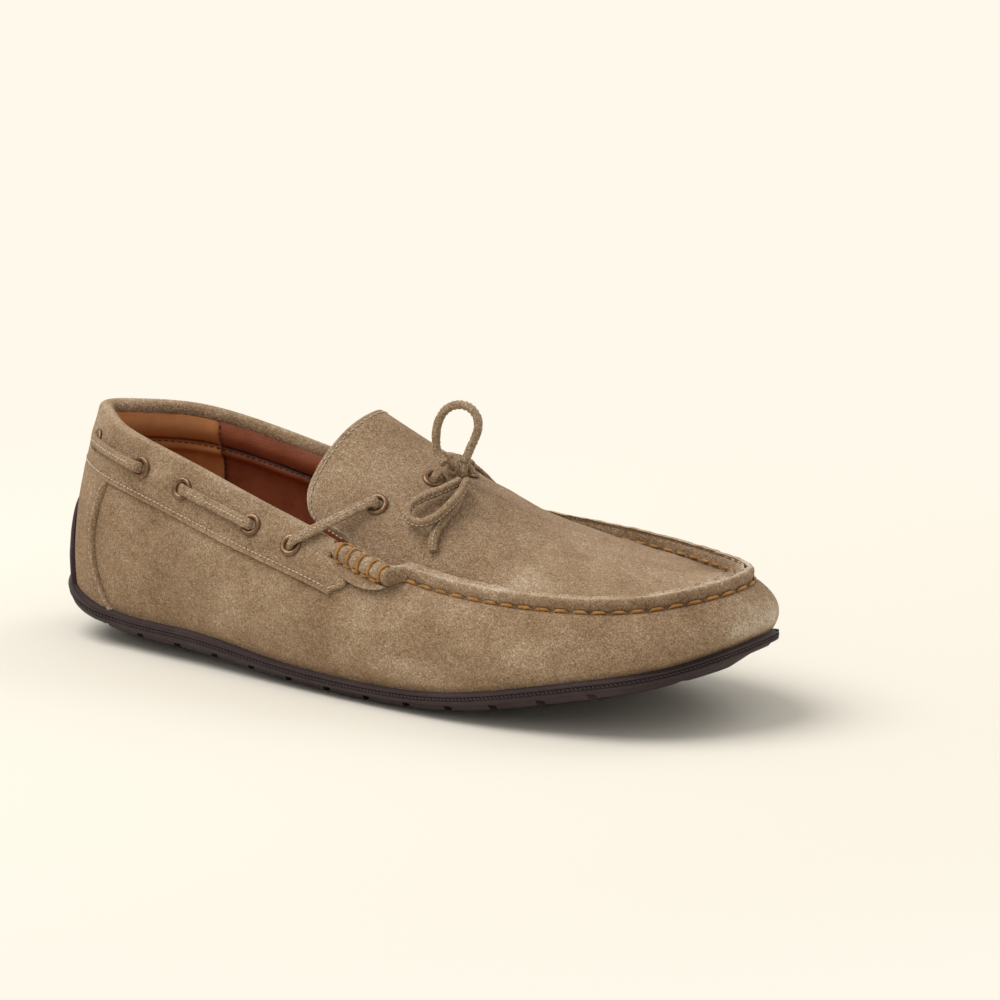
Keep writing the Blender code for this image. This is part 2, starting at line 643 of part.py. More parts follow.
def hole(name, obj, centre, axis):
    o, z, x, y = frame_at(centre, axis)
    loops = [np.array([o + EYE_CUT * (cos(a) * x + sin(a) * y) + h * z
                       for a in 2 * pi * np.arange(12) / 12]) for h in (-3.0, 2.0)]
    cut(obj, rings(name, loops, "brass"))


def make_eyelets():
    band, sheet = bpy.data.objects["collar_band"], bpy.data.objects["apron"]
    for tag, side in (("lateral", 1), ("medial", -1)):
        for k, t in enumerate(COLLAR_T[side]):
            t = np.array(t)
            centre = on_wall(t, CHANNEL_S, 0.3 + SUEDE)
            axis = wall_normal(t, 1 - CHANNEL_S / height(t))
            eyelet(f"eyelet_{tag}_{k + 1}", centre, axis, SUEDE, 0.3 if k == 0 else 0.1)
            hole(f"hole_{tag}_{k + 1}", band, centre, axis)
    for tag, (p, q) in TONGUE_PQ.items():
        p, q = np.array(p), np.array(q)
        centre, axis = on_apron(p, q, 0.0), apron_normal(p, q)
        eyelet(f"eyelet_tongue_{tag}", centre, axis, APRON, 0.6)
        hole(f"hole_tongue_{tag}", sheet, centre, axis)


OUT_D, IN_D = 3.7, -2.0     # middle of the lace outside and inside the collar


def through(t, way):
    """Path of the lace through a collar eyelet: way +1 comes out as |t| grows."""
    steps = [(-4.5, IN_D), (-1.7, IN_D), (-0.5, -1.3), (-0.1, 0.0), (0.1, 1.5),
             (0.5, 2.9), (1.7, OUT_D), (4.5, OUT_D)]
    if way < 0:
        steps = [(-m, d) for m, d in steps[::-1]]
    side = np.sign(t)
    speed = np.linalg.norm(on_wall(np.array(t) + 0.05, CHANNEL_S, 0.0)
                           - on_wall(np.array(t) - 0.05, CHANNEL_S, 0.0)) / 0.1
    return [(t + side * m / speed, d) for m, d in steps]


def make_lace():
    """Lace round the collar: out between eyelets 1-2 and 3-4, hidden elsewhere."""
    half = {}
    for side in (1, -1):
        t = COLLAR_T[side]
        run = through(t[0], 1)
        run += [((t[0] + t[1]) / 2, OUT_D - 0.5)] + through(t[1], -1)
        run += [((t[1] + t[2]) / 2, IN_D)] + through(t[2], 1)
        run += [((t[2] + t[3]) / 2, OUT_D - 0.5)] + through(t[3], -1)
        run += [((t[3] + t[4]) / 2, IN_D)] + through(t[4], 1)[:3]
        half[side] = run
    run = half[-1][::-1] + [(-0.3, IN_D), (0.0, IN_D), (0.3, IN_D)] + half[1]
    t, d = np.array(run).T
    path = smooth_path(on_wall(t, CHANNEL_S, d), 150)
    side = smooth_path(on_wall(t, CHANNEL_S - 1, d) - on_wall(t, CHANNEL_S + 1, d), 150)
    tube("lace_collar", path, LACE_W, LACE_T, "lace", side=side, sides=4)
    for tag, side in (("lateral", 1), ("medial", -1)):
        t5 = COLLAR_T[side][4]
        p1, q1 = TONGUE_PQ["outer_" + tag]
        p2, q2 = TONGUE_PQ["inner_" + tag]
        ta, tb, tc = t5 + side * 0.02, t5 + side * 0.07, t5 + side * 0.2
        over = [on_wall(np.array(t5), CHANNEL_S, 0.4), on_wall(np.array(t5), CHANNEL_S, 1.9),
                on_wall(np.array(ta), CHANNEL_S - 0.6, 3.3),
                on_wall(np.array(tb), CHANNEL_S - 2.5, 4.0)]
        if side < 0:
            over.append(on_wall(np.array(tc), CHANNEL_S - 7.5, 3.6))
        near = [on_apron(p1 - 0.005, q1 * 1.03, 3.1), on_apron(p1, q1, 2.1), on_apron(p1, q1, 0.4)]
        straight = [over[-1] + (near[0] - over[-1]) * k for k in (0.1, 0.3, 0.5, 0.7, 0.9)]
        points = np.array(over + straight + near)
        down = on_wall(np.array(t5), CHANNEL_S - 1, 0.0) - on_wall(np.array(t5), CHANNEL_S + 1, 0.0)
        cross = np.cross(near[0] - near[-1], apron_normal(np.array(p1), np.array(q1)))
        cross = unit(cross) * (1 if (cross * down).sum() > 0 else -1)
        turn = np.linspace(0, 1, len(points))[:, None]
        tube(f"lace_span_{tag}", smooth_path(points, 28), LACE_W, LACE_T, "lace",
             side=smooth_path(unit(down) * (1 - turn) + cross * turn, 28), sides=6)
        mid_p, mid_q = (p1 + p2) / 2, (q1 + q2) / 2
        under = [on_apron(p1, q1, -0.1), on_apron(p1, q1, -2.4),
                 on_apron(p1 + 0.01, q1 * 0.93, -4.3), on_apron(mid_p, mid_q, -4.6),
                 on_apron(p2 - 0.01, q2 + 0.1 * (q1 - q2), -4.3), on_apron(p2, q2, -2.4),
                 on_apron(p2, q2, 1.4), on_apron(p2 + 0.002, q2 * 0.8, 3.6)]
        cross = np.cross(under[4] - under[2], apron_normal(np.array(mid_p), np.array(mid_q)))
        tube(f"lace_under_{tag}", smooth_path(np.array(under), 26), LACE_W - 0.5, LACE_T, "lace",
             side=np.tile(unit(cross), (26, 1)), sides=6)


def make_bow():
    """The tied bow: a knot, a loop standing up, a loop hanging down and two ends."""
    at = on_apron(0.197, -0.01, 4.9)
    normal = apron_normal(np.array(0.197), np.array(-0.01))
    a = np.linspace(0, 2 * pi, 10, endpoint=False)
    loops = []
    for k in np.linspace(-0.5 * pi, 0.5 * pi, 8):
        r = max(cos(k), 0.12)
        loops.append(at + np.outer(np.cos(a), [0.84, 0.54, 0]) * 5.2 * r
                     + normal * 3.3 * sin(k) + np.outer(np.sin(a), [-0.54, 0.84, 0.0]) * 3.8 * r)
    rings("bow_knot", loops, "lace")
    upper = [(158.6, -8.0, 78.6), (155.4, -7.2, 81.4), (154.2, -6.5, 85.2), (154.1, -5.2, 92.0),
             (156.6, -3.8, 97.0), (160.6, -2.6, 99.0), (165.0, -1.8, 98.4), (167.9, -1.5, 95.5),
             (168.5, -1.5, 91.8), (167.4, -1.8, 87.8), (166.1, -2.4, 84.6), (165.3, -2.9, 82.3)]
    lower = [(164.7, -7.8, 73.0), (162.2, -15.5, 71.1), (158.6, -21.5, 69.3), (156.4, -26.3, 67.0),
             (156.6, -28.8, 64.6), (159.2, -30.2, 62.8), (163.2, -30.0, 62.4), (166.4, -26.8, 63.7),
             (168.2, -20.5, 66.9), (168.6, -13.5, 70.3), (167.6, -7.6, 73.4)]
    for name, points in (("bow_loop_upper", upper), ("bow_loop_lower", lower)):
        path = smooth_path(points, 30)
        flat = np.cross(path[10] - path[0], path[20] - path[0])
        tube(name, path, BOW_W, BOW_T, "lace", side=np.tile(unit(flat), (30, 1)), sides=6)
    front_end = [(165.4, -4.8, 71.9), (166.8, -10.5, 68.9), (168.0, -16.0, 65.9), (167.8, -21.0, 63.1),
                 (167.4, -26.6, 59.7), (168.2, -30.4, 56.3), (169.8, -32.6, 53.6)]
    path = smooth_path(front_end, 20)
    tube("lace_end_front", path, BOW_W, BOW_T, "lace", sides=6,
         side=np.cross(np.gradient(path, axis=0), [0.25, -0.5, 0.8]))
    p = np.array([0.152, 0.153, 0.157, 0.166, 0.178, 0.190])
    q = np.array([0.06, 0.17, 0.29, 0.42, 0.57, 0.72])
    path = smooth_path(on_apron(p, q, np.array([1.8, 1.4, 1.3, 1.3, 1.3, 1.3])), 20)
    flat = smooth_path(np.cross(np.gradient(path, axis=0)[[0, 4, 8, 12, 16, 19]],
                                apron_normal(p, q)), 20)
    tube("lace_end_back", path, BOW_W, LACE_T, "lace", side=flat, sides=6)


def hang_flap():
    """The flap's pieces hang from an empty that stands on the hinge's axis."""
    hinge = bpy.data.objects.new("tongue_hinge", None)
    bpy.context.scene.collection.objects.link(hinge)
    hinge.location = (np.array([138.0, -1.8, 80.0]) - ORIGIN) * MM
    bpy.context.view_layer.update()
    for name in ("tongue", "tongue_lining"):
        piece = bpy.data.objects[name]
        piece.parent = hinge
        piece.matrix_parent_inverse = hinge.matrix_world.inverted()


def main():
    for old in list(bpy.data.objects):
        bpy.data.objects.remove(old)
    make_vamp()
    make_collar()
    make_linings()
    make_apron()
    make_outsole()
    make_insole()
    make_rolls()
    make_seam_threads()
    make_eyelets()
    make_lace()
    make_bow()
    hang_flap()


main()
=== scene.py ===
"""The moccasin for pictures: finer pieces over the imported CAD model."""
from math import cos, pi, radians, sin

import bmesh
import bpy
import numpy as np
from mathutils import Matrix, Vector


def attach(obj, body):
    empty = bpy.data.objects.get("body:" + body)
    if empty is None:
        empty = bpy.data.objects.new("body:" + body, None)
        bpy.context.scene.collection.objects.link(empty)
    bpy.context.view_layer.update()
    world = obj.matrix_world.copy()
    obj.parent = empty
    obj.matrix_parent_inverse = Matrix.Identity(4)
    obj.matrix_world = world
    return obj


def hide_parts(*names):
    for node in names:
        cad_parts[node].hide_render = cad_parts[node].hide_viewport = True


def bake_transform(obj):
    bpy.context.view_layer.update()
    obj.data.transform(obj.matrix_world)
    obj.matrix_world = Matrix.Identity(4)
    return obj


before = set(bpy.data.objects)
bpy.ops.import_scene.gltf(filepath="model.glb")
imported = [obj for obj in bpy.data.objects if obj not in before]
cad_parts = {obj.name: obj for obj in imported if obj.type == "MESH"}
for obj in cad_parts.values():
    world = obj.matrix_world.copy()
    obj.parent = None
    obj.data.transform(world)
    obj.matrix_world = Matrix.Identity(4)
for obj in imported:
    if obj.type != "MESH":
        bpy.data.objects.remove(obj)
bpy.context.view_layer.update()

MM = 0.001
ORIGIN = np.array([141.2, -1.8, 0.0])   # the CAD's own origin, in mm from the heel
SUEDE, VAMP, APRON, LIP = 1.2, 1.6, 1.4, 4.5
LACE_W, LACE_T = 3.6, 1.6
CHANNEL_S = 10.5
UP = np.array([0.0, 0.0, 1.0])

# ---------------------------------------------------------------- surfaces
# The CAD's own stations: feather x y z | top x y z | bulge | inward turn | tread edge z
STATIONS = np.array([
    [4, 0.0, 24.0, 8.5, 0.0, 81.5, 1.0, 30, 13.0],
    [10.5, -20.5, 19.0, 19.5, -13.5, 81.0, 0.8, 30, 8.5],
    [36, -30.5, 12.5, 37, -27.0, 79.0, 4.0, 35, 4.5],
    [70, -36.0, 12.0, 68, -32.0, 71.5, 5.0, 40, 3.5],
    [104, -41.5, 9.0, 100, -35.0, 62.5, 6.0, 45, 1.5],
    [136, -46.5, 7.5, 131, -37.5, 54.0, 6.0, 50, 0.5],
    [168, -50.5, 8.0, 160, -40.5, 45.5, 5.0, 55, 1.0],
    [200, -52.0, 12.0, 192, -42.5, 42.0, 4.0, 60, 4.5],
    [236, -47.0, 19.5, 224, -39.0, 41.5, 3.0, 55, 12.0],
    [265, -31.0, 25.5, 254, -25.0, 43.0, 3.0, 50, 18.5],
    [280, 3.0, 31.0, 273, 4.0, 47.5, 3.0, 45, 25.0],
    [268, 29.0, 27.0, 258, 27.0, 46.5, 3.0, 50, 20.0],
    [241, 43.5, 20.5, 229, 38.5, 46.5, 3.0, 55, 13.0],
    [205, 48.5, 13.0, 197, 41.5, 48.0, 4.0, 60, 5.5],
    [170, 42.5, 8.5, 163, 39.5, 50.5, 5.0, 55, 1.5],
    [136, 33.0, 7.5, 132, 37.0, 57.0, 6.0, 50, 1.0],
    [102, 28.5, 9.0, 101, 34.0, 63.5, 6.0, 45, 1.5],
    [68, 30.0, 12.0, 68, 31.5, 71.0, 5.0, 40, 3.5],
    [34, 29.5, 13.0, 36, 27.0, 77.5, 4.0, 35, 4.5],
    [9.5, 19.5, 19.0, 18, 13.0, 80.5, 1.5, 30, 8.5],
])
RING = len(STATIONS)


def tangents(rows):
    """Slopes that make the closed curve through the stations smooth."""
    n = len(rows)
    m = 4 * np.eye(n) + np.roll(np.eye(n), 1, 1) + np.roll(np.eye(n), -1, 1)
    return np.linalg.solve(m, 3 * (np.roll(rows, -1, 0) - np.roll(rows, 1, 0)))


def hermite(a, b, slope_a, slope_b, u):
    """Cubic from a to b with these slopes, as u runs from 0 to 1."""
    return (a * (2 * u**3 - 3 * u**2 + 1) + slope_a * (u**3 - 2 * u**2 + u)
            + b * (3 * u**2 - 2 * u**3) + slope_b * (u**3 - u**2))


SLOPES = tangents(STATIONS)


def station(t):
    """All nine station values at ring position t."""
    t = np.mod(np.asarray(t, float), RING)
    i = np.floor(t).astype(int) % RING
    j, u = (i + 1) % RING, (t - np.floor(t))[..., None]
    return hermite(STATIONS[i], STATIONS[j], SLOPES[i], SLOPES[j], u)


def unit(a):
    """The same vectors with length 1."""
    return a / np.maximum(np.linalg.norm(a, axis=-1, keepdims=True), 1e-12)


def sideways(t, col):
    """Horizontal unit vector pointing out of the ring; col 0 feather, 3 top."""
    step = station(np.asarray(t) + 0.03) - station(np.asarray(t) - 0.03)
    return unit(np.stack([step[..., col + 1], -step[..., col], 0 * step[..., 0]], -1))


def wall(t, v):
    """Outer skin of the upper: v runs 0 at the feather line to 1 at the top."""
    c = station(t)
    th = np.radians(c[..., 7])
    w = (1 - np.cos(th * v)) / (1 - np.cos(th))
    z = np.sin(th * v) / np.sin(th)
    bulge = c[..., 6] * np.sin(pi * np.clip(v, 0, 1)**0.85)
    out = sideways(t, 0)
    return np.stack([
        c[..., 0] * (1 - w) + c[..., 3] * w + out[..., 0] * bulge,
        c[..., 1] * (1 - w) + c[..., 4] * w + out[..., 1] * bulge,
        c[..., 2] * (1 - z) + c[..., 5] * z], -1)


def wall_normal(t, v):
    """Outward normal of the wall."""
    dt = wall(t + 0.03, v) - wall(t - 0.03, v)
    dv = wall(t, v + 0.01) - wall(t, v - 0.01)
    return unit(np.cross(dt, dv))


T_TABLE = np.linspace(0, RING, 801)
H_TABLE = np.linalg.norm(np.diff(wall(T_TABLE[:, None], np.linspace(0, 1, 17)), axis=-2),
                         axis=-1).sum(-1)


def height(t):
    """Length of the skin from feather to top, in mm."""
    return np.interp(np.mod(t, RING), T_TABLE, H_TABLE)


def on_wall(t, s, d):
    """Point s mm below the top edge along the skin and d mm outside it."""
    t, s, d = np.broadcast_arrays(np.asarray(t, float), s, d)
    v = 1 - s / height(t)
    return wall(t, v) + wall_normal(t, v) * d[..., None]


def normal_at(t, s):
    """Outward normal s mm below the top edge."""
    return wall_normal(t, 1 - s / height(t))


def smooth(x, a, b):
    """Eased ramp from 0 at a to 1 at b."""
    u = np.clip((np.asarray(x, float) - a) / (b - a), 0, 1)
    return u * u * (3 - 2 * u)


def hill(x, at, width):
    """Bump of height 1 round one value."""
    return np.exp(-((x - at) / width) ** 2)


def near_t(t):
    """Ring distance from the heel, the same on both sides."""
    t = np.mod(t, RING)
    return np.minimum(t, RING - t)


def front(t, a, b):
    """0 in the quarters and 1 round the forefoot; a..b is the ramp."""
    return smooth(near_t(t), a, b)


def top(t):
    """Top edge of the wall."""
    return station(t)[..., 3:6]


Q_KNOTS = np.array([-1.0, -0.85, -0.7, -0.5, -0.3, 0, 0.3, 0.5, 0.7, 0.85, 1.0])
Q_WIDTH = np.array([-1.0, -0.975, -0.90, -0.74, -0.45, 0, 0.45, 0.74, 0.90, 0.975, 1.0])
Q_BACK = np.array([4.0, 14.0, 18.0, 17.0, 12.5, 8.0, 12.5, 17.0, 18.0, 14.0, 4.0])
CROWN_T = np.array([5, 5.5, 6, 7, 8, 9, 10])
CROWN_H = np.array([36.5, 30.0, 24.5, 12.5, 6.5, 2.5, 0.5])


def curve(x, xs, ys):
    """Smooth curve through a few (x, y) knots."""
    m = np.gradient(ys, xs)
    i = np.clip(np.searchsorted(xs, x, side="right") - 1, 0, len(xs) - 2)
    h = xs[i + 1] - xs[i]
    return hermite(ys[i], ys[i + 1], m[i] * h, m[i + 1] * h, (x - xs[i]) / h)


def edge_t(p):
    """Ring position of the apron's lateral edge at share p of its length."""
    return 5 + 4.74 * p


def edge_out(p, side):
    """Horizontal unit vector out of the apron's edge; side -1 lateral, 1 medial."""
    return sideways(edge_t(p) if side < 0 else RING - edge_t(p), 3)


def apron_edge(p, side):
    """The apron's edge at share p of its length, just inside the wall's top edge."""
    t = edge_t(p)
    inset = 6.8 + (LIP - 1.3 - 6.8) * smooth(t, 4.95, 5.45)
    down = -1.0 * smooth(t, 5.4, 6.1)
    return (top(t if side < 0 else RING - t) - edge_out(p, side) * inset[..., None]
            + np.stack([0 * p, 0 * p, down], -1))


def apron(p, q):
    """Upper skin of the apron and tongue: p 0 rear to 1 toe, q -1 lateral to 1."""
    p, q = np.broadcast_arrays(np.asarray(p, float), np.asarray(q, float))
    a, b = apron_edge(p, -1), apron_edge(p, 1)
    w = curve(q, Q_KNOTS, Q_WIDTH)
    base = a + (b - a) * ((1 + w) / 2)[..., None]
    rise = curve(edge_t(p), CROWN_T, CROWN_H) * np.clip(1 - w**2, 0, 1) ** 0.75
    back = curve(q, Q_KNOTS, Q_BACK) * np.clip(1 - p / 0.25, 0, 1) ** 1.5
    return base + np.stack([-back, 0 * p, rise], -1)


def apron_normal(p, q):
    """Upward normal of the apron."""
    dp = apron(p + 0.004, q) - apron(p - 0.004, q)
    dq = apron(p, np.clip(q + 0.01, -1, 1)) - apron(p, np.clip(q - 0.01, -1, 1))
    return unit(np.cross(dp, dq))


def on_apron(p, q, d):
    """Point d mm above the apron's skin."""
    p, q, d = np.broadcast_arrays(np.asarray(p, float), q, d)
    return apron(p, q) + apron_normal(p, q) * d[..., None]


def lift(t):
    """Height of the raised seam."""
    return 0.8 + (LIP - 0.8) * front(t, 5.78, 6.15)


def base_z(t):
    """Height of the upper's bottom edge, level round the heel."""
    heel = 1 - front(t, 1.0, 2.0)
    return station(t)[..., 2] * (1 - heel) + 12.5 * heel


def below(t, out, z):
    """Point beside the feather line at height z, tucked in as it gets lower."""
    f = wall(t, np.zeros_like(t))
    drop = np.clip(f[..., 2] - z - 3, 0, None)
    p = f + sideways(t, 0) * (out - 0.4 * drop)[..., None]
    p[..., 2] = z
    return p


def insole_z(x, y):
    """Height of the surface the foot's layers lie on."""
    t = np.linspace(0, RING / 2, 80)
    near, far = station(t), station(RING - t)
    z_a, z_b = np.interp(x, near[:, 0], base_z(t)), np.interp(x, far[:, 0], base_z(RING - t))
    y_a, y_b = np.interp(x, near[:, 0], near[:, 1]), np.interp(x, far[:, 0], far[:, 1])
    share = np.clip((y - y_a) / np.maximum(y_b - y_a, 8.0), 0, 1)
    return z_a + (z_b - z_a) * share


def floor(t, out, up):
    """Point near the feather line, up mm above the insole's surface."""
    p = below(t, out + 0 * t, base_z(t) - 3)
    p[..., 2] = insole_z(p[..., 0], p[..., 1]) + up
    return p


def band_end(s):
    """Ring position of the collar band's front end, s mm below the top edge."""
    return 5.06 + 0.30 * smooth(s, 8.0, 12.5) - 0.24 * smooth(s, 13.0, 21.5)


def collar_edge(t):
    """How far below the top edge the collar band ends."""
    return 22.0 - 1.5 * front(t, 3, 5)


def smooth_path(points, n):
    """Open smooth curve through a few points."""
    p = np.asarray(points, float)
    x = np.concatenate([[0], np.cumsum(np.linalg.norm(np.diff(p, axis=0), axis=1) ** 0.6)])
    u = np.linspace(0, x[-1], n)
    return np.stack([curve(u, x, p[:, k]) for k in range(3)], 1)


def distances(path):
    """Length along a path up to each of its points."""
    return np.concatenate([[0], np.cumsum(np.linalg.norm(np.diff(path, axis=0), axis=1))])


def even(path, n):
    """The same path with n points evenly apart."""
    x = distances(path)
    u = np.linspace(0, x[-1], n)
    return np.stack([np.interp(u, x, path[:, k]) for k in range(path.shape[1])], 1)


def length_of(path):
    """Length of a path."""
    return float(np.linalg.norm(np.diff(path, axis=0), axis=1).sum())


# ---------------------------------------------------------------- camera, light and floor
AZIMUTH, ELEVATION, DISTANCE = radians(33), radians(14), 2.6
TARGET = (np.array([140.0, 0.0, 35.0]) - ORIGIN) * MM
CREAM = (1.0, 0.947, 0.831, 1.0)
WORLD = 0.62
LAMPS = (("key", (-0.95, -0.60, 2.0), 1.9, 40.0),   # name, place, size, power
         ("rim", (0.5, 1.3, 1.3), 1.2, 6.0))
FLOOR, FLOOR_FADE = (0.80, 0.755, 0.66, 1.0), (0.20, 0.44)


def look(back):
    """Rotation of a camera or a lamp whose back points along this vector."""
    back = unit(np.asarray(back, float))
    right = unit(np.cross(UP, back))
    return Matrix(np.stack([right, np.cross(back, right), back], 1).tolist()).to_4x4()


def add_object(name, data):
    """New object in the scene."""
    obj = bpy.data.objects.new(name, data)
    bpy.context.scene.collection.objects.link(obj)
    return obj


def make_camera():
    """Long lens from the lateral side of the heel, shifted as the framing needs."""
    back = np.array([sin(AZIMUTH) * cos(ELEVATION), -cos(AZIMUTH) * cos(ELEVATION), sin(ELEVATION)])
    data = bpy.data.cameras.new("camera")
    data.sensor_width, data.lens = 36, 264.7
    data.shift_x, data.shift_y = 0.0878, 0.073
    data.clip_start, data.clip_end = 0.05, 50
    cam = add_object("camera", data)
    cam.matrix_world = look(back)
    cam.location = Vector(TARGET + back * DISTANCE)
    bpy.context.scene.camera = cam


def lamp(name, place, size, power):
    """Disk lamp that points at the middle of the floor."""
    data = bpy.data.lights.new(name, "AREA")
    data.shape, data.size, data.energy = "DISK", size, power
    obj = add_object(name, data)
    obj.matrix_world = look(place)
    obj.location = Vector(place) + Vector((0, 0, 0.03))


def make_world():
    """Even soft light, with the plain background for the camera alone."""
    world = bpy.data.worlds.new("world")
    bpy.context.scene.world = world
    world.use_nodes = True
    tree = world.node_tree
    tree.nodes.clear()
    out, mix, rays, soft, seen = (tree.nodes.new("ShaderNode" + kind) for kind in (
        "OutputWorld", "MixShader", "LightPath", "Background", "Background"))
    soft.inputs[0].default_value, soft.inputs[1].default_value = (1, 0.985, 0.96, 1), WORLD
    seen.inputs[0].default_value = CREAM
    for a, b in ((rays.outputs["Is Camera Ray"], mix.inputs[0]), (soft.outputs[0], mix.inputs[1]),
                 (seen.outputs[0], mix.inputs[2]), (mix.outputs[0], out.inputs[0])):
        tree.links.new(a, b)


def make_floor():
    """Floor that takes the shadow and fades into the background."""
    mesh = bpy.data.meshes.new("floor")
    mesh.from_pydata([(-3, -3, 0), (3, -3, 0), (3, 3, 0), (-3, 3, 0)], [], [(0, 1, 2, 3)])
    obj = add_object("floor", mesh)
    obj.location.z = -0.0003
    mat = Tree("floor")
    distance = mat.node("ShaderNodeVectorMath", operation="LENGTH")
    fade = mat.node("ShaderNodeMapRange", interpolation_type="SMOOTHSTEP")
    fade.inputs["From Min"].default_value, fade.inputs["From Max"].default_value = FLOOR_FADE
    diffuse, clear = mat.node("ShaderNodeBsdfDiffuse"), mat.node("ShaderNodeBsdfTransparent")
    diffuse.inputs["Color"].default_value = FLOOR
    mixed = mat.node("ShaderNodeMixShader")
    for a, b in ((mat.coords(), distance.inputs[0]), (distance.outputs["Value"], fade.inputs["Value"]),
                 (fade.outputs[0], mixed.inputs[0]), (diffuse.outputs[0], mixed.inputs[1]),
                 (clear.outputs[0], mixed.inputs[2]), (mixed.outputs[0], mat.out.inputs[0])):
        mat.link(a, b)
    mesh.materials.append(mat.mat)


def make_stage():
    """Background, lamps and floor."""
    make_world()
    for name, place, size, power in LAMPS:
        lamp(name, place, size, power)
    bpy.context.scene.view_settings.view_transform = "Standard"
    make_floor()


# ---------------------------------------------------------------- materials
class Tree:
    """A material's node tree with short ways to add to it."""

    def __init__(self, name):
        self.mat = bpy.data.materials.new(name)
        self.mat.use_nodes = True
        self.tree = self.mat.node_tree
        self.tree.nodes.clear()
        self.out = self.node("ShaderNodeOutputMaterial")

    def node(self, kind, **settings):
        n = self.tree.nodes.new(kind)
        for key, value in settings.items():
            setattr(n, key, value)
        return n

    def link(self, a, b):
        self.tree.links.new(a, b)

    def coords(self):
        return self.node("ShaderNodeTexCoord").outputs["Object"]

    def noise(self, scale, detail=3.0, rough=0.55, stretch=None, distortion=0.0):
        n = self.node("ShaderNodeTexNoise")
        for key, value in (("Scale", scale), ("Detail", detail), ("Roughness", rough),
                           ("Distortion", distortion)):
            n.inputs[key].default_value = value
        at = self.coords()
        if stretch:
            place = self.node("ShaderNodeMapping")
            place.inputs["Scale"].default_value = stretch
            self.link(at, place.inputs["Vector"])
            at = place.outputs[0]
        self.link(at, n.inputs["Vector"])
        return n.outputs["Fac"]

    def math(self, operation, a, b, c=0.0):
        n = self.node("ShaderNodeMath", operation=operation)
        for socket, value in zip(n.inputs, (a, b, c)):
            if isinstance(value, (int, float)):
                socket.default_value = value
            else:
                self.link(value, socket)
        return n.outputs[0]

    def layers(self, middle, *noises):
        """Sum of (noise, amount) pairs, each swinging evenly about the middle value."""
        for noise, amount in noises:
            middle = self.math("ADD", middle, self.math("MULTIPLY_ADD", noise, amount, -amount / 2))
        return middle

    def attribute(self, name):
        return self.node("ShaderNodeAttribute", attribute_name=name).outputs["Fac"]

    def ramp(self, fac, stops):
        n = self.node("ShaderNodeValToRGB")
        ramp = n.color_ramp
        while len(ramp.elements) < len(stops):
            ramp.elements.new(0.5)
        for element, (at, colour) in zip(ramp.elements, stops):
            element.position, element.color = at, (*colour, 1)
        self.link(fac, n.inputs[0])
        return n.outputs[0]

    def bump(self, height, distance, strength=1.0, under=None):
        n = self.node("ShaderNodeBump")
        n.inputs["Distance"].default_value = distance
        n.inputs["Strength"].default_value = strength
        self.link(height, n.inputs["Height"])
        if under:
            self.link(under, n.inputs["Normal"])
        return n.outputs[0]

    def finish(self, colour, normal, rough, metal=0.0, level=0.3, sheen=0.0, tint=(1, 1, 1),
               sheen_rough=0.5):
        """Ends the tree in a Principled shader; rough is a number or a socket."""
        shader = self.node("ShaderNodeBsdfPrincipled")
        for key, value in (("Base Color", colour), ("Normal", normal), ("Roughness", rough),
                           ("Metallic", metal), ("Specular IOR Level", level), ("Sheen Weight", sheen),
                           ("Sheen Roughness", sheen_rough), ("Sheen Tint", (*tint, 1))):
            if isinstance(value, (int, float, tuple)):
                shader.inputs[key].default_value = value
            else:
                self.link(value, shader.inputs[key])
        self.link(shader.outputs[0], self.out.inputs[0])
        return self.mat


def srgb(r, g, b):
    """Linear colour of an sRGB one given as 0..255."""
    c = np.array([r, g, b]) / 255
    return tuple(float(x) for x in np.where(c <= 0.04045, c / 12.92, ((c + 0.055) / 1.055) ** 2.4))


def suede(name, tone=0.0, grain=1.0):
    """Napped suede: cloudy brushed patches, clumps of nap and a fine grain."""
    m = Tree(name)
    cloud = m.noise(30, 3, 0.55, distortion=0.6)
    brush = m.noise(95, 4, 0.6, stretch=(0.6, 1.0, 1.3), distortion=0.8)
    clump, nap = m.noise(620, 3, 0.6), m.noise(1700, 2, 0.65)
    f = m.layers(0.55 + tone, (cloud, 0.62), (brush, 0.42), (clump, 0.46 * grain), (nap, 1.3 * grain))
    # the per-point attribute adds real wear, painted shade and painted highlights to the colour
    f = m.math("ADD", f, m.attribute("wear_and_painted_light"))
    colour = m.ramp(f, [(0.0, srgb(80, 60, 41)), (0.3, srgb(124, 98, 71)), (0.55, srgb(152, 125, 97)),
                        (0.78, srgb(177, 152, 124)), (1.0, srgb(212, 195, 172))])
    normal = m.bump(m.math("MULTIPLY_ADD", clump, 0.6, nap), 0.0006, 0.95 * grain)
    return m.finish(colour, normal, 0.95, level=0.10, sheen=0.16, tint=srgb(225, 205, 182),
                    sheen_rough=0.45)


def leather(name, dark, base, light, rough=0.45, wrinkle=0.6, level=0.35):
    """Smooth lining leather with pores and soft wrinkles."""
    m = Tree(name)
    pores = m.node("ShaderNodeTexVoronoi", feature="DISTANCE_TO_EDGE")
    pores.inputs["Scale"].default_value = 1100
    m.link(m.coords(), pores.inputs["Vector"])
    f = m.layers(0.5, (m.noise(34, 3, 0.6, distortion=0.5), 0.9), (m.noise(260, 4, 0.6), 0.3))
    # the per-point attribute adds real wear, painted shade and painted highlights to the colour
    colour = m.ramp(m.math("ADD", f, m.attribute("wear_and_painted_light")), [(0.1, dark), (0.5, base), (0.9, light)])
    normal = m.bump(m.math("MINIMUM", pores.outputs["Distance"], 0.12), 0.0012, 0.35)
    normal = m.bump(m.noise(120, 4, 0.6, stretch=(1, 1, 2)), 0.0012, 0.35 * wrinkle, under=normal)
    return m.finish(colour, normal, rough, level=level)


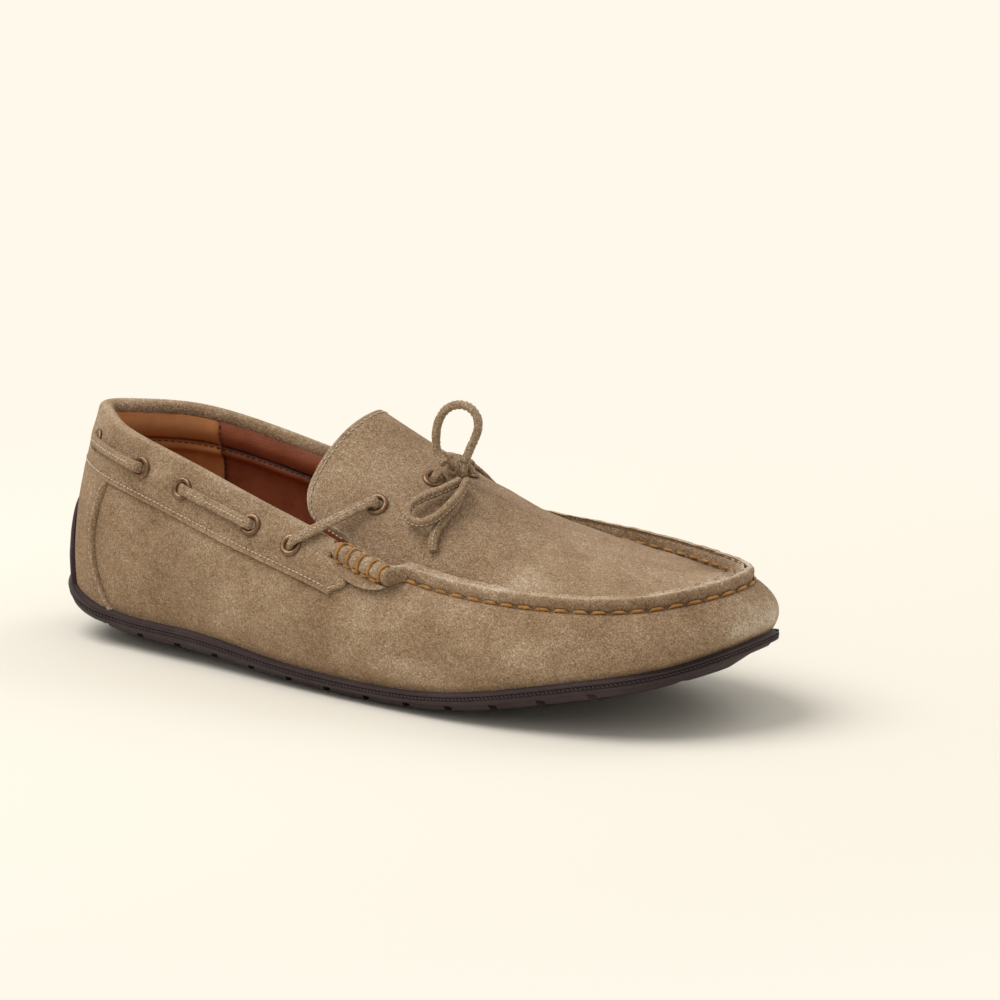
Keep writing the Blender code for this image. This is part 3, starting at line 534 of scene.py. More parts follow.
def rubber_material():
    m = Tree("rubber")
    grain = m.noise(1300, 2, 0.6)
    f = m.layers(0.5, (m.noise(60, 3, 0.6), 0.8), (grain, 0.4))
    colour = m.ramp(f, [(0.1, srgb(40, 30, 31)), (0.5, srgb(58, 45, 45)), (0.9, srgb(78, 64, 62))])
    return m.finish(colour, m.bump(grain, 0.0002, 0.5), 0.62)


def thread_material(name, dark, base, light, scale=900):
    """Twisted thread."""
    m = Tree(name)
    twist = m.node("ShaderNodeTexWave", wave_type="BANDS", bands_direction="DIAGONAL")
    twist.inputs["Scale"].default_value = scale
    twist.inputs["Distortion"].default_value = 3.0
    m.link(m.coords(), twist.inputs["Vector"])
    f = m.layers(0.5, (m.noise(300, 2), 0.7), (twist.outputs["Fac"], 0.3))
    colour = m.ramp(f, [(0.2, dark), (0.55, base), (0.9, light)])
    return m.finish(colour, m.bump(twist.outputs["Fac"], 0.0002, 0.6), 0.6, sheen=0.1)


def bronze_material():
    m = Tree("antique_bronze")
    f = m.layers(0.5, (m.noise(500, 3, 0.6), 0.7), (m.noise(90, 2), 0.4))
    colour = m.ramp(f, [(0.25, srgb(88, 64, 46)), (0.55, srgb(142, 112, 86)),
                        (0.85, srgb(184, 154, 124))])
    rough = m.math("MULTIPLY_ADD", m.noise(700, 2), 0.25, 0.30)
    return m.finish(colour, m.bump(m.noise(900, 2), 0.00008, 0.4), rough, metal=1.0)


def plain_material(name, dark, base, light, scale):
    """Dull grainy board or foam."""
    m = Tree(name)
    grain = m.noise(scale, 4, 0.65)
    f = m.layers(0.6, (m.noise(scale / 9, 2), 0.4), (grain, 0.6))
    colour = m.ramp(f, [(0.25, dark), (0.5, base), (0.78, light)])
    return m.finish(colour, m.bump(grain, 0.0004, 0.6), 0.95, level=0.15)


def make_materials():
    return {
        "suede": suede("suede"),
        "lace": suede("suede_lace", tone=0.04, grain=1.1),
        "red": leather("lining_leather", srgb(82, 40, 26), srgb(138, 74, 47), srgb(166, 96, 64)),
        "tan": leather("lining_suede", srgb(146, 86, 46), srgb(190, 124, 74), srgb(210, 150, 102),
                       rough=0.75, wrinkle=0.3, level=0.2),
        "rubber": rubber_material(),
        "ochre": thread_material("ochre_thread", srgb(118, 76, 30), srgb(184, 128, 58),
                                 srgb(214, 166, 96)),
        "cream": thread_material("cream_thread", srgb(176, 152, 122), srgb(222, 204, 178),
                                 srgb(244, 232, 212), 1600),
        "brown": thread_material("brown_thread", srgb(50, 26, 18), srgb(74, 40, 28),
                                 srgb(98, 56, 40), 1600),
        "bronze": bronze_material(),
        "board": plain_material("fibre_board", srgb(110, 86, 60), srgb(150, 124, 92),
                                srgb(176, 150, 118), 700),
        "foam": plain_material("foam", srgb(190, 180, 158), srgb(222, 214, 196),
                               srgb(238, 232, 218), 1500),
    }


# ---------------------------------------------------------------- building pieces
MAT = {}


def make(name, points, faces, mat, body="shoe", nodes=(), sharp=42, wear_and_painted_light=None, closed=True):
    """One piece from points in the heel frame, riding on a body."""
    points = (np.asarray(points, float).reshape(-1, 3) - ORIGIN) * MM
    mesh = bpy.data.meshes.new(name)
    mesh.from_pydata(points.tolist(), [], [list(map(int, f)) for f in faces])
    mesh.validate()
    # per-point attribute of real wear, painted shade and painted highlights, read by the suede and leather
    # colours
    if wear_and_painted_light is not None:
        mesh.attributes.new("wear_and_painted_light", "FLOAT", "POINT").data.foreach_set(
            "value", np.asarray(wear_and_painted_light, np.float32).ravel())
    if closed:
        bm = bmesh.new()
        bm.from_mesh(mesh)
        if bm.calc_volume(signed=True) < 0:
            bmesh.ops.reverse_faces(bm, faces=bm.faces)
        bm.to_mesh(mesh)
        bm.free()
    mesh.shade_smooth()
    mesh.set_sharp_from_angle(angle=radians(sharp))
    mesh.materials.append(MAT[mat])
    obj = add_object(name, mesh)
    if body == "blend":
        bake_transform(obj)
    else:
        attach(obj, body)
    if nodes:
        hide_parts(*nodes)
    return obj


def shell(name, a, b, mat, wear_and_painted_light=None, **more):
    """Closed body between two grids of points, outer and inner."""
    ni, nj = a.shape[:2]
    i, j = np.meshgrid(np.arange(ni - 1), np.arange(nj - 1), indexing="ij")
    q = np.stack([i * nj + j, (i + 1) * nj + j, (i + 1) * nj + j + 1, i * nj + j + 1], -1).reshape(-1, 4)
    faces = np.concatenate([q, q[:, ::-1] + ni * nj])
    rim = np.concatenate([np.arange(nj), np.arange(1, ni) * nj + nj - 1,
                          (ni - 1) * nj + np.arange(nj - 2, -1, -1), np.arange(ni - 2, 0, -1) * nj])
    nxt = np.roll(rim, -1)
    side = np.stack([nxt, rim, rim + ni * nj, nxt + ni * nj], -1)
    faces = np.concatenate([faces, side])
    if wear_and_painted_light is not None:
        wear_and_painted_light = np.concatenate([np.broadcast_to(wear_and_painted_light, a.shape[:2]).ravel()] * 2)
    return make(name, np.concatenate([a.reshape(-1, 3), b.reshape(-1, 3)]), faces, mat, wear_and_painted_light=wear_and_painted_light, **more)


def ring_faces(n, m, closed=False, caps=False):
    """Faces between n rings of m points each."""
    faces = [[i * m + j, i * m + (j + 1) % m, (i + 1) % n * m + (j + 1) % m, (i + 1) % n * m + j]
             for i in range(n if closed else n - 1) for j in range(m)]
    if caps:
        faces += [list(range(m))[::-1], [(n - 1) * m + j for j in range(m)]]
    return faces


def grids(parts):
    """Several (points, faces) joined into one."""
    points, faces, base = [], [], 0
    for p, f in parts:
        points.append(p.reshape(-1, 3))
        faces += [[int(i) + base for i in face] for face in f]
        base += len(points[-1])
    return np.concatenate(points), faces


def tube_data(path, side, wide, thick, sides=12, power=2.0, scale=None, closed=False):
    """Points and faces of a bar along a path; power above 2 squares its section."""
    path = np.asarray(path, float)
    run = unit(np.roll(path, -1, 0) - np.roll(path, 1, 0) if closed else np.gradient(path, axis=0))
    side = np.broadcast_to(np.asarray(side, float), path.shape)
    side = unit(side - run * (side * run).sum(1)[:, None])
    other = np.cross(run, side)
    a = 2 * pi * (np.arange(sides) + 0.5) / sides
    ca, sa = np.cos(a), np.sin(a)
    ca, sa = np.sign(ca) * np.abs(ca) ** (2 / power), np.sign(sa) * np.abs(sa) ** (2 / power)
    scale = np.ones(len(path)) if scale is None else scale
    pts = (path[:, None] + scale[:, None, None] / 2 * (ca[None, :, None] * side[:, None] * wide
           + sa[None, :, None] * other[:, None] * thick))
    return pts, ring_faces(len(path), sides, closed=closed, caps=not closed)


def at_length(path, extra, where):
    """Points and other vectors of a path at these lengths along it."""
    x = distances(path)
    pick = lambda v: np.stack([np.interp(where, x, v[:, k]) for k in range(3)], -1)
    return pick(path), unit(pick(extra))


def stitch_data(path, normal, pitch, long, wide, sink=0.3, proud=0.5, slant=0.0, sides=8,
                count=7, start=0.5, jitter=0.0, seed=1):
    """Separate stitches along a path, each arching out of the surface and back in."""
    total = length_of(path)
    n = int((total - (start - 0.5) * pitch) // pitch)
    centres = (np.arange(n) + start) * pitch
    rng = np.random.default_rng(seed)
    shift = rng.uniform(-1, 1, (n, 2)) * jitter
    u = np.linspace(-1, 1, count)
    where = centres[:, None] + shift[:, :1] * pitch * 0.5 + u[None] * long / 2 * cos(slant)
    at, nrm = at_length(path, normal, where)
    run = unit(np.gradient(at, axis=1))
    nrm = unit(nrm - run * (nrm * run).sum(-1)[..., None])
    side = np.cross(run, nrm)
    at = at + side * (u[None, :, None] * long / 2 * sin(slant) + shift[:, 1:, None] * wide * 0.6)
    arch = 1 - np.abs(u) ** 5
    at = at + nrm * (wide * (proud * arch - sink * (1 - arch)))[None, :, None]
    run = unit(np.gradient(at, axis=1))
    side = np.cross(run, nrm)
    r = wide / 2 * (1 - 0.55 * np.abs(u) ** 4)
    a = 2 * pi * np.arange(sides) / sides
    pts = at[:, :, None] + r[None, :, None, None] * (
        np.cos(a)[:, None] * side[:, :, None] + np.sin(a)[:, None] * nrm[:, :, None])
    one = ring_faces(count, sides, caps=True)
    faces = [[v + k * count * sides for v in f] for k in range(n) for f in one]
    return pts.reshape(-1, 3), faces


def stitches(name, rows, mat, body="shoe", nodes=(), **how):
    """One piece of many stitches; rows is a list of (path, normals)."""
    data = []
    for path, normal in rows:
        both = even(np.concatenate([path, normal], 1), max(40, int(length_of(path) * 2)))
        data.append(stitch_data(both[:, :3], both[:, 3:], **how))
    return make(name, *grids(data), mat, body=body, nodes=nodes, sharp=70, closed=False)


SEAM_PITCH = 6.7
SEAM_T = np.linspace(5, 15, 2001)
SEAM_X = distances(on_wall(SEAM_T, 0.7, 0.0))
WALL_RUN = 34   # mm of wall per unit of t, near enough for the rounding of edges


def seam_phase(t):
    """Whole numbers where the needle went through the raised seam."""
    return np.interp(np.mod(t, RING), SEAM_T, SEAM_X) / SEAM_PITCH


def needle(t):
    """1 at each needle hole of the raised seam and 0 between two holes."""
    return 0.5 + 0.5 * np.cos(2 * pi * seam_phase(t))


def lip_wave(t):
    """Uneven lean of the raised seam's cut edges, in mm."""
    k = seam_phase(t)
    return 0.20 * np.sin(k * 2 * pi + 0.6) + 0.22 * np.sin(k * 2.4 + 1) + 0.14 * np.sin(k * 5.3)


def waves(*rows):
    """A soft uneven relief from a few sines: (amplitude, kx, ky, phase) each."""
    def relief(x, y):
        return sum(a * np.sin(kx * x + ky * y + ph) for a, kx, ky, ph in rows)
    return relief


SOFT = waves((0.30, 1.3, 0.05, 0.4), (0.22, 2.9, -0.11, 1.9), (0.18, 4.7, 0.17, 0.3),
             (0.12, 7.3, -0.23, 2.2), (0.08, 11.1, 0.31, 4.0))


# ---------------------------------------------------------------- upper
def make_vamp():
    """The vamp: a floor under the foot, the wall, and its raised lip round the front."""
    t = np.unique(np.concatenate([np.linspace(0.02, 5, 150), np.linspace(5, 15, 520),
                                  np.linspace(15, RING - 0.02, 150)]))
    up_to = 15.8 * (1 - front(t, 4.72, 5.35))
    tall = height(t)
    outer = [floor(t, -9.0, -3.6), floor(t, -1.3, -3.6), floor(t, -0.3, -3.0)]
    inner = [floor(t, -9.0, -2.4), floor(t, -2.6, -2.4), floor(t, -1.7, -1.8)]
    # the floor rows under the foot are made darker
    wear_and_painted_light = [0 * t - 0.2] * 3
    f = front(t, 5.3, 5.95)
    hole = needle(t)
    gather = f * (0.3 + 0.7 * hole**3)
    quarter = smooth(near_t(t), 1.55, 1.9)
    crease = hill(np.mod(t, RING), 6.4, 0.30) + hill(np.mod(t, RING), 13.6, 0.3)
    for k in np.linspace(0, 1, 44) ** 0.92:
        s = tall * (1 - k) + up_to * k
        free = quarter * smooth(s, collar_edge(t) + 0.5, collar_edge(t) + 7) * (1 - f) + f * smooth(s, 1, 7)
        free = free * smooth(tall - s, 0, 5)
        d = free * (SOFT(t, s) - 0.45 * crease * np.sin(s / 4.2 + 0.8))
        d = d - 0.75 * gather * hill(s, 0.6, 0.9) * (s < 6)
        d = d + 0.30 * f * (1 - hole) * hill(s, 3.2, 1.8)
        outer.append(on_wall(t, s, d))
        inner.append(on_wall(t, s, d * 0.3 - VAMP))
        toe = hill(near_t(t), 9.75, 0.42) * hill(tall - s, 7, 5.5)
        ball = hill(t, 6.1, 0.5) * hill(tall - s, 10, 6)
        side = hill(t, 7.6, 0.45) * hill(tall - s, 13, 5)
        # the toe, ball and side patches are lighter with wear; painted shade makes the wall darker just
        # below the collar band's lower edge and in the gathered dimples at the foot of the raised seam; the
        # wall is also made darker along its bottom edge next to the sole
        under = -0.10 * hill(s, collar_edge(t), 1.6) * (near_t(t) < 5.3)
        wear_and_painted_light.append(0.30 * toe + 0.12 * ball + 0.10 * side + under
                    - 0.16 * gather * hill(s, 0.6, 1.0)
                    - 0.08 * hill(tall - s, 0, 2.2))
    f = f[:, None]
    start = on_wall(t, up_to, 0.0)
    way = unit(unit(on_wall(t, up_to - 1, 0.0) - start) * (1 - f) + UP * f)
    into = unit(wall_normal(t, 1 - up_to / tall) * (1 - f) + sideways(t, 3) * f)
    wave = lip_wave(t)[:, None] * f
    steps = [(k, 0.0, 0.45, 0.03 + 0.10 * smooth(k, 0.5, 1.0)) for k in (0.18, 0.35, 0.52, 0.68, 0.82, 0.92)]
    # share of the lip's height, edge cut back, extra thickness, wear
    for k, cut, extra, wear_and_light in steps + [(0.98, 0.25, 0.45, 0.22), (1.0, 0.6, 0.3, 0.26)]:
        bow = 0.55 * np.sin(pi * k) * f - 0.15 * hole[:, None] * f * (1 - k) + wave * k
        at = start + way * lift(t)[:, None] * k
        outer.append(at + into * (bow - cut))
        inner.append(at - into * (VAMP + extra * f - bow))
        wear_and_painted_light.append(wear_and_light + 0 * t)
    shell("vamp_leather", np.stack(outer, 1), np.stack(inner, 1), "suede",
          wear_and_painted_light=np.stack(wear_and_painted_light, 1), nodes=("vamp",), sharp=60)


def edge_round(mm, radius=0.9):
    """Share of full thickness this far in from a cut edge."""
    x = np.clip(mm / radius, 0, 1)
    return 0.45 + 0.55 * np.sqrt(np.clip(1 - (1 - x) ** 2, 0, 1))


def make_collar():
    """The collar band: a flat outer face, the padded fold over the top, its inner edge."""
    v = np.linspace(-1, 1, 301)
    rim = np.array([.0006, .0015, .003, .005])
    u = np.sign(v) * (1 - (1 - np.abs(v)) ** 1.15)
    u = np.unique(np.round(np.concatenate([u, 1 - rim, rim - 1]), 6))[:, None]
    s_low = np.array([21, 20.85, 20.6, 20.2, 19.6, 18.8, 17.6, 16, 14, 12, 10, 8, 6.2, 4.6, 3.2, 2.2])
    roll = np.radians(np.linspace(8, 172, 15))
    s_roll = 1.75 - 2.55 * np.sin(roll) + 0.25 * (1 - np.cos(roll))
    d_roll = -1.35 + 2.85 * np.cos(roll)
    s = np.concatenate([s_low, s_roll, [2.5, 2.9, 3.3, 3.5]])[None]
    d = np.concatenate([1.5 + 0 * s_low, d_roll, [-4.3, -4.32, -4.25, -4.1]])[None]
    low, column = len(s_low), np.arange(s.shape[1])[None]
    flat = column < low
    t = u * band_end(np.clip(s, 0, 21))
    stretch = np.where(s > 4, collar_edge(t) / 21, 1.0)
    half_band = 5.1 * 36.0   # mm from the heel to the band's front end
    end_mm = (1 - np.abs(u)) * half_band
    low_mm = np.where(flat, 21 - s, 9)
    thin = edge_round(end_mm) * edge_round(low_mm)
    pucker = 0.10 * np.sin(t * 23) * hill(s, 19, 1.6) + 0.14 * SOFT(t * 1.4, s) * smooth(s, 1, 4)
    channel = 0.35 * hill(s, CHANNEL_S, 3.2)
    outer = on_wall(t, s * stretch, np.where(flat, 0.3 + (d - 0.3) * thin + pucker + channel, d))
    core = unit(on_wall(t, 2.0, -1.35) - outer)
    inner = np.where(flat[..., None], on_wall(t, s * stretch, 0.3), outer + core * 1.1)
    # lighter at the band's lower cut edge and over the top of the roll, darker along the stitch row
    wear_and_painted_light = (np.where(column < 3, 0.16, 0.0) + 0 * t + 0.10 * hill(column, low + 5, 3.5)
            - 0.07 * hill(low_mm, 2.3, 0.8))
    shell("collar_leather", outer, inner, "suede", wear_and_painted_light=wear_and_painted_light, nodes=("collar_band",), sharp=65)
    # fine stitches along the lower edge, turning up at the front corner
    t = np.linspace(-1, 1, 600) * (band_end(19.0) - 0.055)
    rows = [(on_wall(t, collar_edge(t) - 2.1, 1.52), normal_at(t, collar_edge(t)))]
    for side in (1, -1):
        s = np.linspace(19.0, 9.5, 40)
        t = side * (band_end(s) - 0.055)
        rows.append((on_wall(t, s * collar_edge(t) / 21, 1.52), normal_at(t, s)))
    stitches("collar_stitching", rows, "cream", pitch=1.95, long=1.55, wide=0.42, proud=0.42,
             jitter=0.12)


def cover_end(k):
    """The heel cover's front seam, which bows forwards at its top and bottom."""
    return 1.58 + (0.20 + 0.06 * k) * (1 - 2 * k) ** 2


def make_heel_cover():
    """The leather round the heel, from under the collar down to the sole."""
    rim = np.array([.003, .006, .011, .017])
    u = np.unique(np.concatenate([np.linspace(-1, 1, 150), 1 - rim, rim - 1]))[:, None]
    k = np.linspace(0, 1, 30)[None]
    t = u * cover_end(k)
    inside = (cover_end(k) - np.abs(t)) * WALL_RUN
    edge = collar_edge(t)
    s = edge - 1.0 + (height(t) - edge + 1.0) * k
    ridge = 0.25 * hill(inside, 1.0, 0.8) - 0.22 * hill(inside, 2.6, 0.8)
    d = (0.3 + (SUEDE + 0.15) * edge_round(inside) + ridge * smooth(s, 22, 25)
         - np.where(s < edge + 0.3, 0.27, 0.0) + 0.3 * SOFT(t * 2.3, s) * smooth(s, 23, 30))
    tucked = np.where(s < edge + 0.2, 0.25, 9)   # its top goes in under the collar
    # lighter at the cut edge, darker along the stitch row where the groove runs
    wear_and_painted_light = 0.12 * hill(inside, 0, 0.8) - 0.10 * hill(inside, 2.6, 0.7)
    shell("heel_cover_leather", on_wall(t, s, np.minimum(d, tucked)), on_wall(t, s, 0.12), "suede",
          wear_and_painted_light=wear_and_painted_light, nodes=("heel_cover",), sharp=65)
    rows = []
    for side in (1, -1):
        k = np.linspace(0, 1, 60)
        t = side * (cover_end(k) - 2.6 / WALL_RUN)
        s = collar_edge(t) + 0.6 + (height(t) - collar_edge(t) - 4) * k
        rows.append((on_wall(t, s, 1.42), normal_at(t, s)))
    stitches("heel_cover_stitching", rows, "cream", pitch=2.1, long=1.6, wide=0.36, proud=0.35,
             jitter=0.15)


def padding(s):
    """How far the padded top of the lining stands in, s mm below the top edge."""
    return -0.5 * smooth(s, 3, 9) - 1.7 * np.sin(pi * np.clip((s - 2.4) / 11.8, 0, 1)) ** 0.8


def make_lining(name, t0, t1, n, deep, mat):
    """A side lining: padded above a seam, and deep mm inside the wall below it."""
    t = np.linspace(t0, t1, n)[:, None]
    upper = np.concatenate([np.linspace(2.7, 14.2, 18), np.linspace(14.7, 21, 9)])
    lower = 21 + (height(t) - 21) * np.linspace(0.08, 1, 10)[None]
    s = np.concatenate([np.tile(upper[None], (n, 1)), lower], 1)
    flat = (-4.35 + (deep + 4.35) * smooth(s, 14.2, 22)
            - 0.35 * np.sin(pi * np.clip((s - 14.2) / 6, 0, 1)))
    d = np.where(s > 14.2, flat, -3.85 + padding(s)) + 1.3 * hill(s, 14.4, 0.6) - 0.9 * hill(s, 17.4, 1.7)
    d = d + 0.5 * SOFT(t * 1.7, s * 1.2) * smooth(s, 15, 22) + 0.25 * SOFT(t * 2.6 + 1, s)
    d = d + 0.5 * hill(np.minimum(np.abs(t - t0), np.abs(t - t1)) * WALL_RUN, 0, 1.0)
    # painted shadow: a dark line in the crease under the padded fold; painted highlight: a lighter band
    # along the crest of the padding
    wear_and_painted_light = -0.45 * hill(s, 14.4, 0.7) + 0.10 * hill(s, 8, 3)
    shell(name + "_v", on_wall(t, s, d), on_wall(t, s, d + 0.7), mat, wear_and_painted_light=wear_and_painted_light, nodes=(name,), sharp=60)


def make_linings():
    """The side linings, the collar's foam, and the lining of the vamp."""
    split = 2.13   # ring position of the seam between quarter and heel lining
    make_lining("quarter_lining_lateral", split, 5.36, 100, -2.2, "red")
    make_lining("quarter_lining_medial", -5.36, -split, 100, -2.2, "red")
    make_lining("heel_lining", -split, split, 150, -3.4, "tan")
    rows = []
    for side in (1, -1):
        s = np.concatenate([np.linspace(4.0, 13.6, 30), np.linspace(15.2, 48, 60)])
        t = side * (split + 0.03) + 0 * s
        d = np.where(s < 14.3, -3.95 + padding(s), -4.8 + 2.15 * smooth(s, 14.2, 22))
        rows.append((on_wall(t, s, d), -normal_at(t, s)))
    stitches("lining_seam_stitching", rows, "brown", pitch=2.3, long=1.7, wide=0.5, proud=0.5, jitter=0.1)
    t = np.linspace(-5.0, 5.0, 700)
    stitches("collar_padding_stitching", [(on_wall(t, 15.2, -4.55), -normal_at(t, 15.2))],
             "brown", pitch=2.4, long=1.7, wide=0.34, proud=0.45, jitter=0.1, seed=4)
    t = np.linspace(-4.25, 4.25, 120)[:, None]
    s, outer, inner = np.array([
        [1.5, 1.9, 2.8, 4.0, 5.6, 6.8, 8.5, 10.5, 12.3, 13.3, 13.8],
        [-1.7, -0.9, -0.4, -0.2, -0.4, -1.4, -2.6, -3.0, -3.2, -3.5, -3.9],
        [-1.9, -2.8, -3.1, -3.2, -3.5, -3.9, -4.1, -4.2, -4.2, -4.1, -4.0]])[:, None]
    foam = shell("collar_padding", on_wall(t, s, outer), on_wall(t, s, inner), "foam",
                 nodes=("collar_foam",))
    t = np.linspace(5.5, 14.5, 200)[:, None]
    s = 3.2 + (height(t) - 3.2) * np.linspace(0, 1, 20)[None]
    shell("vamp_lining_v", on_wall(t, s, -2.0 + 0.1 * SOFT(t, s)), on_wall(t, s, -2.8 + 0.3 * SOFT(t, s)),
          "red", nodes=("vamp_lining",))


TOE_P = 1.050   # the apron runs on until its two edges meet at the toe
APRON_MM = 190


def q_grid(n):
    """Values from -1 to 1 that crowd toward the ends."""
    return np.sin(np.linspace(-pi / 2, pi / 2, n))


def make_apron():
    """The apron and its free flap as one sheet, with the raised lip along both sides."""
    p = np.unique(np.concatenate([[0, .0006, .0016, .003, .005, .008], np.linspace(0.012, 0.1, 16),
                                  np.linspace(0.1, TOE_P, 310)]))[:, None]
    reach = 0.955 + 0.045 * smooth(p, 0.03, 0.07)
    q = reach * q_grid(90)[None]
    t = edge_t(p)
    lipped = smooth(t, 5.8, 6.17)
    near_edge = (1 - np.abs(q)) * WALL_RUN
    d = 0.55 * SOFT(p * 9 + q, q * 11) * smooth(near_edge, 0, 8) * smooth(p, 0.05, 0.2)
    d = d - 0.5 * needle(t)**3 * lipped * hill(near_edge, 0, 1.6)
    rear_mm = p * APRON_MM
    side_mm = (reach - np.abs(q)) * WALL_RUN + 30 * smooth(p, 0.06, 0.10)
    cut = APRON * (1 - edge_round(rear_mm) * edge_round(side_mm))
    groove = -0.22 * (hill(rear_mm, 1.7, 0.5) + hill(side_mm, 1.7, 0.5) * (p < 0.075))
    skin = on_apron(p, q, d + groove - cut * 0.5)
    back = on_apron(p, q, d * 0.6 - APRON + cut * 0.3)
    # the cut edges are lighter with wear and a broad lighter patch lies on the crown; painted shade darkens
    # the crease along the foot of the raised lip
    wear_and_painted_light = (0.16 * (hill(rear_mm, 0, 0.7) + hill(side_mm, 0, 0.7) * (p < 0.08))
            - 0.10 * lipped * hill(near_edge, 0, 1.8) + 0.03
            + 0.10 * hill(p, 0.62, 0.16) * hill(q, -0.1, 0.5))
    rise = 0.15 + (LIP + 0.55) * lipped
    wave = lip_wave(t) * lipped
    # share of the lip's height, and how far its skin is drawn in at the cut edge
    steps = ((1.0, 0.5), (0.96, 0.18), (0.85, 0.0), (0.65, 0.0), (0.42, 0.0), (0.2, 0.0), (0.07, 0.04))
    rows = [[], []]
    for side, k in ((-1, 0), (1, -1)):
        out = edge_out(p[:, 0], side)
        a, b = skin[:, k], back[:, k]
        for h, inward in steps:
            shift, belly = out * (wave * h), -out * (0.35 * np.sin(pi * h) * lipped)
            face = a + UP * rise * h + out * (inward * APRON) + shift + belly
            rear = b + out * (APRON * (0.98 - inward)) + UP * (rise + APRON) * h + shift + belly * 0.4
            rows[k].append((face, rear, 0.05 + 0.2 * smooth(h, 0.8, 1.0) + 0 * p[:, 0]))
    for side, k in ((-1, 0), (1, -1)):
        back[:, k] = back[:, k] + edge_out(p[:, 0], side) * APRON * lipped
    middle = [(skin[:, j], back[:, j], wear_and_painted_light[:, j]) for j in range(skin.shape[1])]
    outer, inner, wear_and_light = (np.stack(x, 1) for x in zip(*rows[0], *middle, *rows[-1][::-1]))
    shell("apron_leather", outer, inner, "suede", wear_and_painted_light=wear_and_light, body="blend", nodes=("apron", "tongue"),
          sharp=62)
    p = np.concatenate([np.linspace(0.008, 0.1, 14), np.linspace(0.11, 0.95, 60)])[:, None]
    q = 0.90 * q_grid(40)[None]
    pocket = 1.75 + 4.2 * smooth(p, 0.075, 0.11) * (1 - smooth(p, 0.26, 0.36))
    shell("apron_lining_v", on_apron(p, q, -pocket), on_apron(p, q, -pocket - 0.7), "red",
          body="blend", nodes=("apron_lining", "tongue_lining"))
    # fine stitches round the flap's free edge
    inset_p, inset_q, end_p = 0.0085, 0.893, 0.066
    k = np.linspace(0, 1, 40)
    p = np.concatenate([end_p - (end_p - inset_p) * k, inset_p + 0 * k, inset_p + (end_p - inset_p) * k])
    q = np.concatenate([-inset_q + 0 * k, inset_q * np.sin(pi / 2 * (2 * k - 1)), inset_q + 0 * k])
    stitches("flap_stitching", [(on_apron(p, q, 0.0), apron_normal(p, q))], "cream", body="blend",
             pitch=2.15, long=1.6, wide=0.46, proud=0.35, jitter=0.1)


def make_seam_threads():
    """The thick stitches along the raised seam, outside and inside it."""
    t = np.linspace(5.98, 14.02, 2400)
    skip = 1 - seam_phase(t[0]) % 1   # the first stitch starts at a needle hole
    stitches("seam_stitching_outer", [(on_wall(t, 0.75, 0.15), normal_at(t, 0.75))], "ochre",
             nodes=("seam_thread_outer",), pitch=SEAM_PITCH, long=5.5, wide=1.15, proud=0.28, sink=0.7,
             start=0.5 + skip, sides=10, count=11, jitter=0.04)
    p = np.linspace(0.30, 0.975, 1200)
    rows = [(apron_edge(p, side) - edge_out(p, side) * 0.15 + UP * 1.6, -edge_out(p, side))
            for side in (-1, 1)]
    stitches("seam_stitching_inner", rows, "ochre", nodes=("seam_thread_inner",),
             pitch=SEAM_PITCH * 0.93, long=5.0, wide=1.05, proud=0.28, sink=0.6, sides=10, count=11,
             jitter=0.05, seed=3)


# ---------------------------------------------------------------- rolls beside the flap
SIDES = (("lateral", 1), ("medial", -1))
BANDS, BAND_START, BAND_SPAN = 5, 5.24, 0.64
ROLL_R, PINCH = 3.28, 0.42


def wrap_path(bands, reach=82, extra=18):
    """Thread that crosses a roll in bands: share of the length, and angle round it."""
    along, swing, corner = [], [], np.linspace(0, pi / 2, 7)
    for k in range(bands):
        way = 1 if k % 2 else -1
        for a in np.linspace(-reach, reach, 22):
            along.append(k)
            swing.append(way * a)
        if k < bands - 1:
            for c in corner[1:]:
                along.append(k + 0.26 * (1 - cos(c)))
                swing.append(way * (reach + extra * sin(c)))
            for c in corner[::-1][:-1]:
                along.append(k + 1 - 0.26 * (1 - cos(c)))
                swing.append(way * (reach + extra * sin(c)))
    return np.array(along) / (bands - 1), np.radians(swing)


def roll_frame(t, side, s=4.2, d=3.85):
    """The roll's middle line, and its directions along, outward and across."""
    mid = on_wall(t, s, d)
    run = unit(on_wall(t + side * 0.02, s, d) - on_wall(t - side * 0.02, s, d))
    out = normal_at(t, s)
    out = unit(out - run * (out * run).sum(-1)[..., None])
    return mid, run, out, np.cross(run, out) * side


def make_roll(tag, side):
    """The rolled leather, pinched where the thread crosses it, tapering into the lip."""
    n, m = 110, 40
    k = np.linspace(0, 1, n)
    t = side * (5.10 + 1.06 * k)
    tail = smooth(k, 0.80, 1.0)
    mid, _, out, across = roll_frame(t, side, 4.2 - 3.9 * tail, 3.85 - 3.2 * tail)
    x = (k * 1.06 + 5.10 - BAND_START) / BAND_SPAN * (BANDS - 1)
    pinch = np.where((x > -0.45) & (x < BANDS - 0.55), np.abs(np.cos(pi * x)) ** 3, 0.35)
    rounded = np.clip(1 - (1 - 2 * np.minimum(k, 0.5)) ** 9, 0.0, 1) ** 0.5
    radius = np.maximum((ROLL_R - PINCH * pinch) * (1 - 0.62 * tail) * rounded, 0.25)
    a = 2 * pi * np.arange(m) / m
    lumps = 1 + 0.05 * np.sin(3 * a + 9 * k[:, None]) + 0.035 * np.sin(7 * a - 17 * k[:, None])
    points = mid[:, None] + (radius[:, None] * lumps)[..., None] * (
        np.cos(a)[:, None] * out[:, None] + np.sin(a)[:, None] * across[:, None])
    # painted shade: the roll is darker in the pinches where the thread crosses it
    make(f"beefroll_{tag}_v", points, ring_faces(n, m, caps=True), "suede", nodes=(f"beefroll_{tag}",),
         wear_and_painted_light=(-0.14 * pinch + 0.05)[:, None] + 0 * a, sharp=70)


